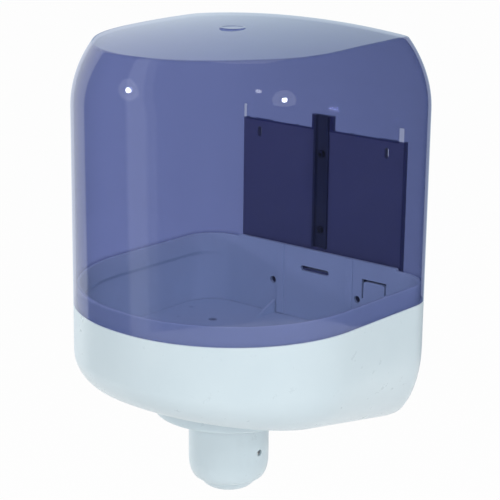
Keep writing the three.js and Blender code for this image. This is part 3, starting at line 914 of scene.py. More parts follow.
@dataclass
class Hood:
    """The tinted hood: a lofted shell with a creased crown, a doorway behind and two lips."""

    plan: Plan
    lathe: Lathe
    wall: float = 0.0025
    bottom: float = 0.0003
    crown_height: float = 0.2136
    crown_centre: float = 0.043
    fall_side: float = 0.0088
    fall_front: float = 0.0044
    fall_rear: float = 0.060
    shoulder_radius: float = 0.077
    shoulder_shares: tuple[float, ...] = (0.0, 0.35, 0.7, 1.0)
    shoulder_insets: tuple[float, ...] = (0.0078, 0.0175, 0.016, 0.0198)
    crease: float = 0.0004
    groove_width: float = 0.0016
    groove_depth: float = 0.0006
    bead_z: float = 0.0157
    bead: float = 0.0006
    foot: float = 0.0005
    gate_radius: float = 0.010
    gate_rise: float = 0.0006
    gate_sink: float = 0.002
    doorway_half: float = 0.0825
    doorway_top: float = 0.1303
    lip_inner: float = 0.008
    lip_outer: float = 0.077
    lip_ys: Span = (-0.0036, -0.0011)
    panel_top: float = 0.130
    lip_drop: float = 0.012
    lip_rise: float = 0.003
    lip_shoulder: float = 0.002
    lip_round: float = 0.4 * MM
    brow: tuple[Flat, ...] = ((0.026, 0.004), (0.046, 0.0065))
    brow_ends: float = 0.0005
    brow_lean: float = 0.6 * MM
    bead_shares: tuple[Flat, ...] = ((0.0, 0.0), (0.5, 1.0), (1.5, 1.0), (2.0, 0.0))
    gate_lip: Span = (0.0016, 0.0022)
    gate_dish: float = 0.35 * MM
    gate_round: float = 0.25 * MM
    level_share: float = 0.85
    levelling_share: float = 0.15
    shoulder_steps: int = 16
    crown_steps: int = 14

    def crown(self, x: float, y: float) -> float:
        """Returns the crown's height over a point."""
        side = self.fall_side * (x / self.plan.half_width) ** 2
        fall = self.fall_rear if y > -self.crown_centre else self.fall_front
        return self.crown_height - side - fall * ((y + self.crown_centre) / (self.plan.depth / 2)) ** 2

    def shoulder_inset(self, s: Station) -> float:
        """Returns how far the crease lies inside the outline at a station."""
        i = max(1, next(k for k, share in enumerate(self.shoulder_shares) if share >= s.share))
        low, high = self.shoulder_shares[i - 1], self.shoulder_shares[i]
        eased = (1 - math.cos(math.pi * (s.share - low) / (high - low))) / 2
        return mix(self.shoulder_insets[i - 1], self.shoulder_insets[i], eased)

    def _form(self, wall: float) -> Bands:
        """Returns the rings of the outside, or of the inside where wall is the thickness."""
        rings = [(self.plan.ring(-wall, lambda s: wall, lambda s, x, y: self.bottom), self.foot)]
        radius = self.shoulder_radius
        if wall:
            for rise, proud in self.bead_shares:
                edge, z = wall + self.bead * proud, self.bead_z + self.bead * rise
                rings.append((self.plan.ring(-edge, lambda s, e=edge: e, lambda s, x, y, z=z: z), 0.0))

        def drop(s: Station) -> float:
            inset = self.shoulder_inset(s)
            return math.sqrt(2 * radius * inset - inset ** 2)

        for i in range(self.shoulder_steps + 1):
            share = i / self.shoulder_steps

            def angle(s: Station, share: float = share) -> float:
                return math.asin(drop(s) / radius) * share

            def height(s: Station, x: float, y: float, share: float = share) -> float:
                sine = math.sin(angle(s, share))
                blend = max(0.0, (share - self.level_share) / self.levelling_share)
                return self.crown(x, y) - drop(s) + radius * sine - wall * mix(sine, 1.0, blend)

            def inset(s: Station, share: float = share) -> float:
                return radius - (radius - wall) * math.cos(angle(s, share))

            rear = -inset(self.plan.stations[0])
            rings.append((self.plan.ring(rear, inset, height), self.crease if share == 1 else 0.0))
        if not wall:
            rings += self._groove()
        crease = rings[-1][0]
        for i in range(self.crown_steps - 1, 0, -1):
            t = i / self.crown_steps
            band = []
            for point in crease:
                x, y = point.x * t, mix(self.plan.axis_y, point.y + self.plan.standoff, t)
                band.append(Vector((x, y - self.plan.standoff, self.crown(x, y) - wall)))
            rings.append((band, 0.0))
        return rings

    def _groove(self) -> Bands:
        """Returns the rings of the fine groove that runs inside the crease."""
        made = []
        for share, depth in ((0.5, self.groove_depth), (1.0, 0.0)):
            def inset(s: Station, share: float = share) -> float:
                return self.shoulder_inset(s) + self.groove_width * share

            rear = -inset(self.plan.stations[0])
            made.append((self.plan.ring(rear, inset, lambda s, x, y, d=depth: self.crown(x, y) - d), 0.0))
        return made

    def _lips(self) -> list[Body]:
        """Returns the two lips and the brow over the right-hand one."""
        off = -self.plan.standoff
        front, back = self.lip_ys[0] + off, self.lip_ys[1] + off
        section = eased_outline([
            (front, self.panel_top - self.lip_drop), (back, self.panel_top - self.lip_drop),
            (back, self.panel_top + self.lip_rise), (off - self.wall, self.panel_top + self.lip_rise),
            (front, self.panel_top - self.lip_shoulder),
        ], self.lip_round)
        lips = [
            Body.prism(section, Plane.YZ, span)
            for span in ((-self.lip_outer, -self.lip_inner), (self.lip_inner, self.lip_outer))
        ]
        crest = [(self.lip_inner, self.brow_ends), *self.brow, (self.lip_outer, self.brow_ends)]
        points: list[Spot] = []
        for x, rise in crest:
            foot, top = self.panel_top - self.lip_shoulder, self.panel_top + rise
            points += [(x, front, foot), (x, front + self.brow_lean, top), (x, back, top), (x, back, foot)]
        last = 4 * (len(crest) - 1)
        faces: list[tuple[int, ...]] = [(0, 1, 2, 3), (last, last + 1, last + 2, last + 3)]
        for i in range(len(crest) - 1):
            near, far = 4 * i, 4 * i + 4
            faces += [(near + k, near + (k + 1) % 4, far + (k + 1) % 4, far + k) for k in range(4)]
        return [*lips, Body.of(points, faces)]

    def _gate(self) -> Body:
        """Returns the low round moulding mark on the crown, with a shallow dish in it."""
        top = self.crown(0.0, self.plan.axis_y)
        rim = top + self.gate_rise
        profile = eased_outline([
            (0.0, top - self.gate_sink), (self.gate_radius, top - self.gate_sink),
            (self.gate_radius, rim), (self.gate_radius - self.gate_lip[0], rim),
            (self.gate_radius - self.gate_lip[1], rim - self.gate_dish), (0.0, rim - self.gate_dish),
        ], self.gate_round, closed=False)
        return self.lathe.body(profile, (0.0, self.plan.axis_y - self.plan.standoff), closed=False)

    def build(self) -> None:
        """Makes the hood."""
        inner, outer = self._form(self.wall), self._form(0.0)
        shell = Body.lofted(eased_rings([*inner[::-1], *outer]))
        half, off = self.doorway_half, -self.plan.standoff
        doorway = Body.block(
            (-half, half), (off - self.wall - MM, off + MM), (-MM, self.doorway_top)
        )
        body = shell.cut(doorway).joined(*self._lips(), self._gate())
        Piece("hood_shell", body, CLEAR, CadBody.HOOD, ("hood",)).build()


@dataclass
class Tray:
    """The white tray: a bowl with a skirt inside the hood, a collar for the nozzle and a back wall."""

    plan: Plan
    lathe: Lathe
    wall: float = 0.003
    back_outer: float = 0.003
    back_inner: float = 0.006
    back_rise: float = 0.002
    rib_x: Span = (0.0322, 0.0394)
    rib_depth: float = 0.0012
    rim_height: float = 0.015
    rim_inset: float = 0.003
    rim_wall: float = 0.0024
    joggle: float = 0.004
    upright: float = 0.038
    belly_front: float = 0.059
    belly_rear: float = 0.115
    round_front: float = 0.024
    round_rear: float = 0.073
    round_back: float = 0.012
    collar_radius: float = 0.060
    collar_wall: float = 0.0025
    collar_depth: float = 0.090
    collar_plate: float = 0.004
    collar_round: float = 0.003
    collar_rise: float = 0.022
    collar_bore: float = 0.0325
    panel_half: float = 0.082
    flange_drop: float = 0.030
    support_under: float = 0.0468
    post_radius: float = 0.005
    post_places: tuple[Flat, ...] = ((-0.066, -0.166), (-0.066, -0.058), (0.066, -0.166), (0.066, -0.058))
    hole_x: float = 0.044
    hole_z: float = -0.016
    hole_radius: float = 0.0031
    slot_z: float = 0.0
    slot_size: Flat = (0.0295, 0.0045)
    tongue_x: float = 0.0605
    tongue_top: float = 0.0007
    tongue_size: Flat = (0.0205, 0.0143)
    tongue_cut: float = 0.0018
    tongue_round: float = 3 * MM
    seam_round: float = 0.5 * MM
    joggle_round: float = 0.3 * MM
    rim_round: float = 0.6 * MM
    cut_depth: float = 2.2 * MM
    well_rise: float = 0.019
    rib_foot: float = -0.0435
    rib_round: float = 0.6 * MM
    upstand_round: float = 1.5 * MM
    recess_fit: float = 0.3 * MM
    round_steps: int = 160
    steps: int = 20

    def _belly(self, back_y: float, wall: float) -> Bands:
        """Returns the belly's rings, from its floor up to its upright side."""
        rings = []
        for i in range(self.steps, -1, -1):
            angle = math.pi / 2 * i / self.steps
            rings.append((self.plan.ring(
                back_y - self.round_back * (1 - math.cos(angle)),
                lambda s, a=angle: wall + (self._reach(s) - wall) * (1 - math.cos(a)),
                lambda s, x, y, a=angle: (self._floor(y) + wall + self.upright) * math.sin(a) - self.upright,
            ), 0.0))
        return rings

    def _reach(self, s: Station) -> float:
        """Returns how far the belly curves inwards below a station."""
        return mix(self.round_rear, self.round_front, -s.y / self.plan.depth)

    def _floor(self, y: float) -> float:
        """Returns the height of the belly's lowest line."""
        return -mix(self.belly_rear, self.belly_front, -y / self.plan.depth)

    def inner_inset(self, s: Station, z: float) -> float:
        """Returns how far inside the outline the tray's inner wall lies at a height."""
        sine = (-z - self.upright) / (-self._floor(s.y) - self.wall - self.upright)
        return self.wall + (self._reach(s) - self.wall) * (1 - math.cos(math.asin(max(0.0, sine))))

    def _level(self, back_y: float, inset: float, z: float, reach: float) -> tuple[Ring, float]:
        """Returns a level ring with the rounding of its edge."""
        return self.plan.ring(back_y, lambda s: inset, lambda s, x, y: z), reach

    def _outside(self) -> Bands:
        """Returns the rings of the outside, from the floor up."""
        return [
            *self._belly(0.0, 0.0),
            self._level(0.0, 0.0, 0.0, self.seam_round),
            self._level(-self.back_outer, self.rim_inset, 0.0, self.joggle_round),
            self._level(-self.back_outer, self.rim_inset, self.rim_height, self.rim_round),
        ]

    def _inside(self) -> Bands:
        """Returns the rings of the inside, from the floor up."""
        inner = self.rim_inset + self.rim_wall
        return [
            *self._belly(-self.back_inner, self.wall),
            self._level(-self.back_inner, self.wall, -self.joggle, MM),
            self._level(-self.back_inner, inner, self.rim_inset - self.joggle, MM),
            self._level(-self.back_inner, inner, self.rim_height, self.rim_round),
        ]

    def _collar(self) -> Body:
        """Returns the collar's ring wall and floor."""
        bottom, inside = -self.collar_depth, self.collar_radius - self.collar_wall
        plate = bottom + self.collar_plate
        profile = [
            (self.collar_bore, bottom), (self.collar_radius, bottom),
            (self.collar_radius, bottom + self.collar_rise), (inside, bottom + self.collar_rise),
            (inside, plate), (self.collar_bore, plate),
        ]
        edge = eased_outline(profile[:3], self.collar_round, closed=False, steps=8)[1:-1]
        centre = (0.0, self.plan.axis_y - self.plan.standoff)
        return self.lathe.body([profile[0], *edge, *profile[2:]], centre, steps=self.round_steps)

    def _back_cutters(self, ys: Span) -> list[Body]:
        """Returns what is cut through the back wall: two holes, a level slot and the tongue's outline."""
        bore = 2 * self.hole_radius
        holes = [Body.round_slot((x, self.hole_z), (bore, bore), ys, 16) for x in (-self.hole_x, self.hole_x)]
        slot = Body.round_slot((0.0, self.slot_z), self.slot_size, ys, 16)
        width, length = self.tongue_size
        half, foot = width / 2, self.tongue_top - length
        outer = Body.block(
            (self.tongue_x - half - self.tongue_cut, self.tongue_x + half + self.tongue_cut), ys,
            (foot, self.tongue_top + self.tongue_cut),
        )
        inner = Body.prism(eased_outline([
            (self.tongue_x - half, foot - MM), (self.tongue_x + half, foot - MM),
            (self.tongue_x + half, foot + length), (self.tongue_x - half, foot + length),
        ], self.tongue_round, steps=5), Plane.XZ, (ys[0] - MM, ys[1] + MM))
        return [*holes, slot, outer.cut(inner)]

    def build(self) -> None:
        """Makes the tray."""
        off, centre = -self.plan.standoff, (0.0, self.plan.axis_y - self.plan.standoff)
        body = Body.lofted(eased_rings([*self._inside(), *self._outside()[::-1]]))
        outside = Body.lofted(eased_rings(self._outside()))
        plate = self.collar_plate - self.collar_depth
        inside = self.collar_radius - self.collar_wall
        well = self.lathe.post(
            self.collar_radius - self.collar_wall / 2, centre,
            (-self.belly_rear - MM, plate + self.well_rise), steps=self.round_steps,
        )
        skirt = self.lathe.body([
            (inside, -self.belly_rear), (self.collar_radius, -self.belly_rear),
            (self.collar_radius, plate), (inside, plate),
        ], centre, steps=self.round_steps).shared(outside)
        span = (-self.belly_rear, -self.support_under)
        posts = [
            self.lathe.post(self.post_radius, (x, y + off), span).shared(outside) for x, y in self.post_places
        ]
        top = self.rim_height + self.back_rise
        upstand = Body.prism(eased_outline([
            (-self.panel_half, self.rim_height - MM), (self.panel_half, self.rim_height - MM),
            (self.panel_half, top), (-self.panel_half, top),
        ], self.upstand_round), Plane.XZ, (off - self.back_inner, off - self.back_outer))
        root, crest = off - self.back_inner + MM, off - self.back_inner - self.rib_depth
        near, far = self.rib_x
        ribs = [
            Body.prism(eased_outline([
                (side * near, root), (side * far, root), (side * far, crest), (side * near, crest),
            ], self.rib_round), Plane.XY, (self.rib_foot, top))
            for side in (-1, 1)
        ]
        half, foot = self.panel_half + self.recess_fit, -self.flange_drop - self.recess_fit
        recess = Body.block((-half, half), (off - self.back_outer, off + MM), (foot, MM))
        body = body.cut(well).joined(skirt, self._collar(), *posts, upstand, *ribs)
        body = body.cut(recess, *self._back_cutters((off - self.back_inner - self.cut_depth, off + MM)))
        Piece("tray_moulding", body, WHITE, CadBody.WALL_UNIT, ("tray",)).build()


@dataclass
class RollSupport:
    """The level floor that a roll stands on, with a funnel in the middle and two fins behind."""

    plan: Plan
    lathe: Lathe
    tray: Tray
    gap: float = 0.0005
    back_y: float = -0.0066
    top: float = -0.044
    plate: float = 0.0025
    mouth: float = 0.062
    funnel_lip: float = 0.003
    funnel_radius: float = 0.030
    funnel_wall: float = 0.0022
    funnel_bottom: float = -0.0806
    fin_x: float = 0.042
    fin_wall: float = 0.0025
    fin_length: float = 0.028
    fin_height: float = 0.011
    hole_radius: float = 0.0018
    head_radius: float = 0.0036
    head_depth: float = 0.0018
    screw_seat: float = -0.0455
    edge_band: float = 6 * MM
    funnel_round: float = 2.5 * MM
    under_round: float = 0.4 * MM
    top_round: float = 0.6 * MM
    round_steps: int = 160

    def build(self, places: Sequence[Flat]) -> None:
        """Makes the support.

        Args:
            places: Where its four screws stand in x and y.
        """
        off, centre = -self.plan.standoff, (0.0, self.plan.axis_y - self.plan.standoff)
        bottom = self.top - self.plate

        def level(shift: float, z: float, reach: float) -> tuple[Ring, float]:
            return self.plan.ring(
                self.back_y, lambda s: self.tray.inner_inset(s, z) + self.gap + shift, lambda s, x, y: z
            ), reach

        floor = Body.lofted(eased_rings([
            level(self.edge_band, bottom, 0.0), level(0.0, bottom, self.under_round),
            level(0.0, self.top, self.top_round), level(self.edge_band, self.top, 0.0),
        ]))
        middle = self.mouth + self.funnel_lip / 2
        hole = self.lathe.post(middle, centre, (bottom - MM, self.top + MM), steps=self.round_steps)
        rim = self.mouth + self.funnel_lip
        throat = eased_outline([
            (rim, self.top), (self.mouth, self.top), (self.funnel_radius, self.funnel_bottom),
        ], self.funnel_round, closed=False, steps=6)
        funnel = self.lathe.body([
            *throat, (self.funnel_radius + self.funnel_wall, self.funnel_bottom), (rim, bottom),
        ], centre, steps=self.round_steps)
        back = self.back_y + off
        outline = [
            (back, bottom + self.plate / 2), (back, bottom + self.plate + self.fin_height),
            (back - self.fin_length, bottom + self.plate / 2),
        ]
        fins = [
            Body.prism(outline, Plane.YZ, (x - self.fin_wall / 2, x + self.fin_wall / 2))
            for x in (-self.fin_x, self.fin_x)
        ]
        bores = []
        for x, y in places:
            bores.append(self.lathe.post(self.hole_radius, (x, y + off), (bottom - MM, self.top + MM), 24))
            bores.append(self.lathe.post(
                self.head_radius, (x, y + off), (self.top - self.head_depth, self.top + MM), 24
            ))
        body = floor.cut(hole).joined(funnel, *fins).cut(*bores)
        Piece("support_floor", body, WHITE, CadBody.WALL_UNIT, ("roll_support",)).build()


@dataclass
class BackPanel:
    """The panel on the wall: a face with a sunk middle field, slots, rear cells and a lower flange."""

    tray: Tray
    half: float = 0.082
    top: float = 0.130
    drop: float = 0.030
    face: float = -0.0048
    flange: float = -0.0067
    flange_top: float = 0.0147
    plate: float = 0.0023
    corner: float = 0.003
    margin: float = 0.0025
    field_half: float = 0.020
    field_slope: float = 0.009
    field_sink: float = 0.0006
    rib: float = 0.0018
    rib_spacing: float = 0.028
    rib_rows: Span = (0.050, 0.085)
    slot_x: float = 0.065
    slot_z: float = 0.108
    slot_size: Flat = (0.0040, 0.009)
    shoulder_z: float = 0.1185
    channel_half: float = 0.0078
    channel_back: float = -0.0017
    level_rise: float = 0.0012
    level_size: Flat = (0.0295, 0.0034)
    channel_foot: float = 0.0187
    pad_half: float = 0.007
    pad_drop: float = 0.0094
    pocket_fit: float = 0.003
    screw_bore: Flat = (0.0036, 0.0036)
    head_bore: Flat = (0.0072, 0.0072)
    head_floor: float = -0.0021
    screw_zs: Span = (0.034, 0.098)
    rear_screw: Flat = (0.072, -0.023)
    rear_seat: float = -0.0018
    rail_seat: float = -0.0038
    rail_fit: float = 0.3 * MM
    rail_wall: float = 2.3 * MM
    rail_floor: float = 1.5 * MM
    rail_round: float = 0.4 * MM
    edge: float = 0.25 * MM

    def _cells(self) -> list[Body]:
        """Returns the hollows between the ribs on the rear."""
        outer = self.half - self.margin
        first = self.channel_half - self.rail_fit + self.margin
        uprights = (first, self.rib_spacing, 2 * self.rib_spacing, outer + self.rib / 2)
        levels = (self.flange_top + self.rib / 2, *self.rib_rows, self.top - self.margin + self.rib / 2)
        cells = []
        for side in (-1, 1):
            for i in range(3):
                for k in range(3):
                    near, far = uprights[i] + self.rib / 2, uprights[i + 1] - self.rib / 2
                    cells.append(Body.block(
                        (near, far) if side > 0 else (-far, -near), (self.face + self.plate, MM),
                        (levels[k] + self.rib / 2, levels[k + 1] - self.rib / 2),
                    ))
        return cells

    def build(self) -> None:
        """Makes the panel."""
        outline = eased_outline([
            (-self.half, -self.drop), (self.half, -self.drop), (self.half, self.top), (-self.half, self.top),
        ], self.corner, steps=6)
        end = self.field_half + self.field_slope
        middle = Body.prism([
            (-end, self.face), (-self.field_half, self.face + self.field_sink),
            (self.field_half, self.face + self.field_sink), (end, self.face),
            (end, self.face - MM), (-end, self.face - MM),
        ], Plane.XY, (self.flange_top, self.top + MM))
        flange = Body.block(
            (-self.half, self.half), (self.flange, 0.0), (self.corner - self.drop, self.flange_top)
        )
        zs = (self.slot_z - self.pad_drop, self.top - self.margin / 2)
        pads = [
            Body.block((x - self.pad_half, x + self.pad_half), (self.face + self.plate / 2, 0.0), zs)
            for x in (-self.slot_x, self.slot_x)
        ]
        channel = Body.block(
            (-self.channel_half, self.channel_half), (self.face - MM, self.channel_back),
            (self.channel_foot, self.top + MM),
        )
        ys = (self.flange - MM, MM)
        slots = [
            Body.round_slot((x, self.slot_z), self.slot_size, ys, 16) for x in (-self.slot_x, self.slot_x)
        ]
        tray, width = self.tray, 2 * self.tray.hole_radius
        holes = [
            Body.round_slot((x, tray.hole_z), (width, width), ys, 16) for x in (-tray.hole_x, tray.hole_x)
        ]
        level = Body.round_slot((0.0, tray.slot_z + self.level_rise), self.level_size, ys, 16)
        half = tray.tongue_size[0] / 2 + self.pocket_fit
        pocket = Body.block(
            (tray.tongue_x - half, tray.tongue_x + half), (self.flange - MM, self.channel_back),
            (tray.tongue_top - tray.tongue_size[1], tray.tongue_top + self.pocket_fit),
        )
        x, z = self.rear_screw
        screws = [Body.round_slot((side * x, z), self.screw_bore, ys, 12) for side in (-1, 1)]
        sunk = (self.head_floor, MM)
        heads = [Body.round_slot((side * x, z), self.head_bore, sunk, 12) for side in (-1, 1)]
        deep = (self.channel_back - MM, MM)
        pilots = [Body.round_slot((0.0, z), self.screw_bore, deep, 12) for z in self.screw_zs]
        body = Body.prism(outline, Plane.XZ, (self.face, 0.0)).cut(middle, *self._cells())
        body = body.joined(flange, *pads)
        body = body.cut(channel, *slots, *holes, level, pocket, *screws, *heads, *pilots)
        shoulder = self.channel_half + self.margin
        body = body.cut(*(
            Body.block(span, (self.flange - MM, MM), (self.shoulder_z, self.top + MM))
            for span in ((-self.half - MM, -shoulder), (shoulder, self.half + MM))
        ))
        Piece("wall_panel", body, PANEL, CadBody.WALL_UNIT, ("back_panel",), edge=self.edge).build()
        self._rail()

    def _rail(self) -> None:
        """Makes the rail that is let into the panel's channel."""
        half, inner = self.channel_half - self.rail_fit, self.channel_half - self.rail_wall
        back, front = self.channel_back - self.rail_fit, self.face - MM
        floor = back - self.rail_floor
        section = eased_outline([
            (-half, back), (half, back), (half, front), (inner, front),
            (inner, floor), (-inner, floor), (-inner, front), (-half, front),
        ], self.rail_round)
        through = (floor - MM, back + MM)
        holes = [Body.round_slot((0.0, z), self.screw_bore, through, 12) for z in self.screw_zs]
        body = Body.prism(section, Plane.XY, (self.channel_foot + self.rail_fit, self.top)).cut(*holes)
        Piece("rail_channel", body, RAIL, CadBody.WALL_UNIT, ("centre_rail",)).build()


@dataclass
class Nozzle:
    """The nozzle under the tray: retaining ring, sleeve, cup and paper grip."""

    plan: Plan
    lathe: Lathe
    radius: float = 0.032
    wall: float = 0.0025
    depth: float = 0.130
    taper: float = 0.0065
    taper_height: float = 0.016
    flange_bottom: float = -0.0857
    flange_top: float = -0.0837
    flange_radius: float = 0.037
    ring_top: float = -0.0809
    ring_radius: float = 0.053
    ring_chamfer: float = 0.002
    ring_overlap: float = 0.0035
    screw_circle: float = 0.047
    screw_angles: tuple[float, ...] = (90.0, 210.0, 330.0)
    lug_reach: float = 0.004
    lug_angle: float = 20.0
    window: Span = (-2.0, 57.0)
    fit: float = 0.0003
    cup_wall: float = 0.002
    cup_top: float = 0.103
    cup_drop: float = 0.009
    exit_radius: float = 0.011
    grip_depth: float = 0.139
    grip_plate: float = 0.0015
    grip_radius: float = 0.0252
    grip_hole: float = 0.006
    slit: Flat = (0.019, 0.0012)
    slits: int = 6
    side_hole: float = 0.0026
    side_depth: float = 0.1205
    side_seat: float = 0.0295
    ring_gap: float = 0.5 * MM
    screw_bore: float = 0.0018
    head_foot: float = -0.100
    head_round: float = 0.3 * MM
    ring_round: float = 0.4 * MM
    end_round: float = 0.6 * MM
    cup_round: float = 0.4 * MM
    grip_round: float = 0.3 * MM
    round_steps: int = 128

    def _taper(self, shift: float, steps: int = 14) -> list[Flat]:
        """Returns the rounded end of the sleeve, moved inwards by shift."""
        base = self.radius - self.taper - shift
        return quarter((base, -self.depth), self.taper, -self.taper_height, steps)

    def _cup_side(self, shift: float, steps: int = 14) -> list[Flat]:
        """Returns one side of the cup's wall, from its neck to its exit."""
        neck = self._taper(shift)
        mouth, mouth_z = neck[-1]
        tip = -self.depth - self.taper_height - self.cup_drop
        rise = tip + shift - self.wall - self.fit - mouth_z
        dome = quarter((self.exit_radius, mouth_z), mouth - self.exit_radius, rise, steps)
        return neck + dome[1:]

    def _wedge(self, radii: Span, angles: Span, zs: Span, steps: int = 16) -> Body:
        """Returns a piece of a flat ring between two angles."""
        outline = []
        for radius, (start, end) in zip(radii[::-1], (angles, angles[::-1])):
            for k in range(steps + 1):
                angle = math.radians(mix(start, end, k / steps))
                outline.append((radius * math.cos(angle), radius * math.sin(angle)))
        return Body.prism(outline, Plane.XY, zs)

    def _cross_bore(self, radius: float) -> Body:
        """Returns a round pin along x through both sides of the nozzle."""
        steps = 24
        turns = [2 * math.pi * k / steps for k in range(steps)]
        outline = [(radius * math.cos(t), radius * math.sin(t) - self.side_depth) for t in turns]
        return Body.prism(outline, Plane.YZ, (-self.radius - MM, self.radius + MM))

    def _placed(self, body: Body) -> Body:
        """Moves a body from the nozzle's own axis to its place."""
        return body.moved(0.0, self.plan.axis_y - self.plan.standoff, 0.0)

    def _ring(self) -> Body:
        """Returns the ring that holds the sleeve's flange."""
        seat, cap = self.flange_radius + self.ring_gap, self.flange_top + self.fit
        inner = self.flange_radius - self.ring_overlap
        body = self.lathe.body(eased_outline([
            (seat, self.flange_bottom), (self.ring_radius, self.flange_bottom),
            (self.ring_radius, self.ring_top - self.ring_chamfer),
            (self.ring_radius - self.ring_chamfer, self.ring_top), (inner, self.ring_top),
            (inner, cap), (seat, cap),
        ], self.ring_round), steps=self.round_steps)
        lug = self.flange_radius + self.lug_reach + self.ring_gap
        window = self._wedge((self.flange_radius - MM, lug), self.window, (self.flange_bottom - MM, cap))
        holes = [
            self.lathe.post(self.screw_bore, spot, (self.flange_bottom - MM, self.ring_top + MM), 24)
            for spot in self.ring_screws()
        ]
        return body.cut(window, *holes)

    def ring_screws(self) -> list[Flat]:
        """Returns where the ring's screws stand, about the nozzle's axis."""
        return [
            (self.screw_circle * math.cos(math.radians(a)), self.screw_circle * math.sin(math.radians(a)))
            for a in self.screw_angles
        ]

    def _sleeve(self) -> Body:
        """Returns the sleeve with its flange, lug and side holes."""
        bore = self.radius - self.wall
        outline = [*self._taper(0.0), *self._taper(self.wall)[::-1]]
        end = eased_outline(outline, self.end_round, closed=False)
        head = eased_outline([
            (bore, self.head_foot), (bore, self.flange_top), (self.flange_radius, self.flange_top),
            (self.flange_radius, self.flange_bottom), (self.radius, self.flange_bottom),
            (self.radius, self.head_foot),
        ], self.head_round, closed=False)
        body = self.lathe.body([*head, *end], steps=self.round_steps)
        lug = self._wedge(
            (self.radius - self.wall / 2, self.flange_radius + self.lug_reach),
            (0.0, self.lug_angle), (self.flange_bottom, self.flange_top),
        )
        return body.joined(lug).cut(self._cross_bore(self.side_hole))

    def _cup(self) -> Body:
        """Returns the cup with its domed end."""
        outer = self._cup_side(self.wall + self.fit)
        inner = self._cup_side(self.wall + self.fit + self.cup_wall)[::-1]
        top = [(inner[-1][0], -self.cup_top), (outer[0][0], -self.cup_top)]
        profile = eased_outline([*top, *outer, *inner], self.cup_round)
        return self.lathe.body(profile, steps=self.round_steps).cut(self._cross_bore(self.screw_bore))

    def _grip(self) -> Body:
        """Returns the soft slitted disc."""
        low, high = -self.grip_depth, self.grip_plate - self.grip_depth
        disc = self.lathe.body(eased_outline([
            (self.grip_hole, low), (self.grip_radius, low), (self.grip_radius, high), (self.grip_hole, high),
        ], self.grip_round))
        length, width = self.slit
        cutters = []
        for i in range(self.slits):
            angle = 2 * math.pi * i / self.slits
            along = Vector((math.cos(angle), math.sin(angle)))
            side = Vector((-along.y, along.x)) * width / 2
            corners = [side, along * length + side, along * length - side, -side]
            cutters.append(Body.prism([(c.x, c.y) for c in corners], Plane.XY, (low - MM, high + MM)))
        return disc.cut(*cutters)

    def build(self) -> None:
        """Makes the nozzle's pieces."""
        Piece("holding_ring", self._placed(self._ring()), WHITE, CadBody.WALL_UNIT, ("nozzle_ring",)).build()
        Piece("neck_sleeve", self._placed(self._sleeve()), WHITE, CadBody.NOZZLE, ("nozzle_sleeve",)).build()
        Piece("neck_cup", self._placed(self._cup()), WHITE, CadBody.NOZZLE, ("nozzle_cup",)).build()
        Piece("tail_grip", self._placed(self._grip()), RUBBER, CadBody.NOZZLE, ("paper_grip",)).build()


@dataclass
class ScrewRow:
    """A few like screws, with where each one's head sits and the way it points."""

    name: str
    rides: CadBody
    nodes: tuple[str, ...]
    seats: tuple[Spot, ...]
    ways: tuple[Spot, ...]
    length: float
    head_radius: float = 0.0032
    finish: Finish = STEEL


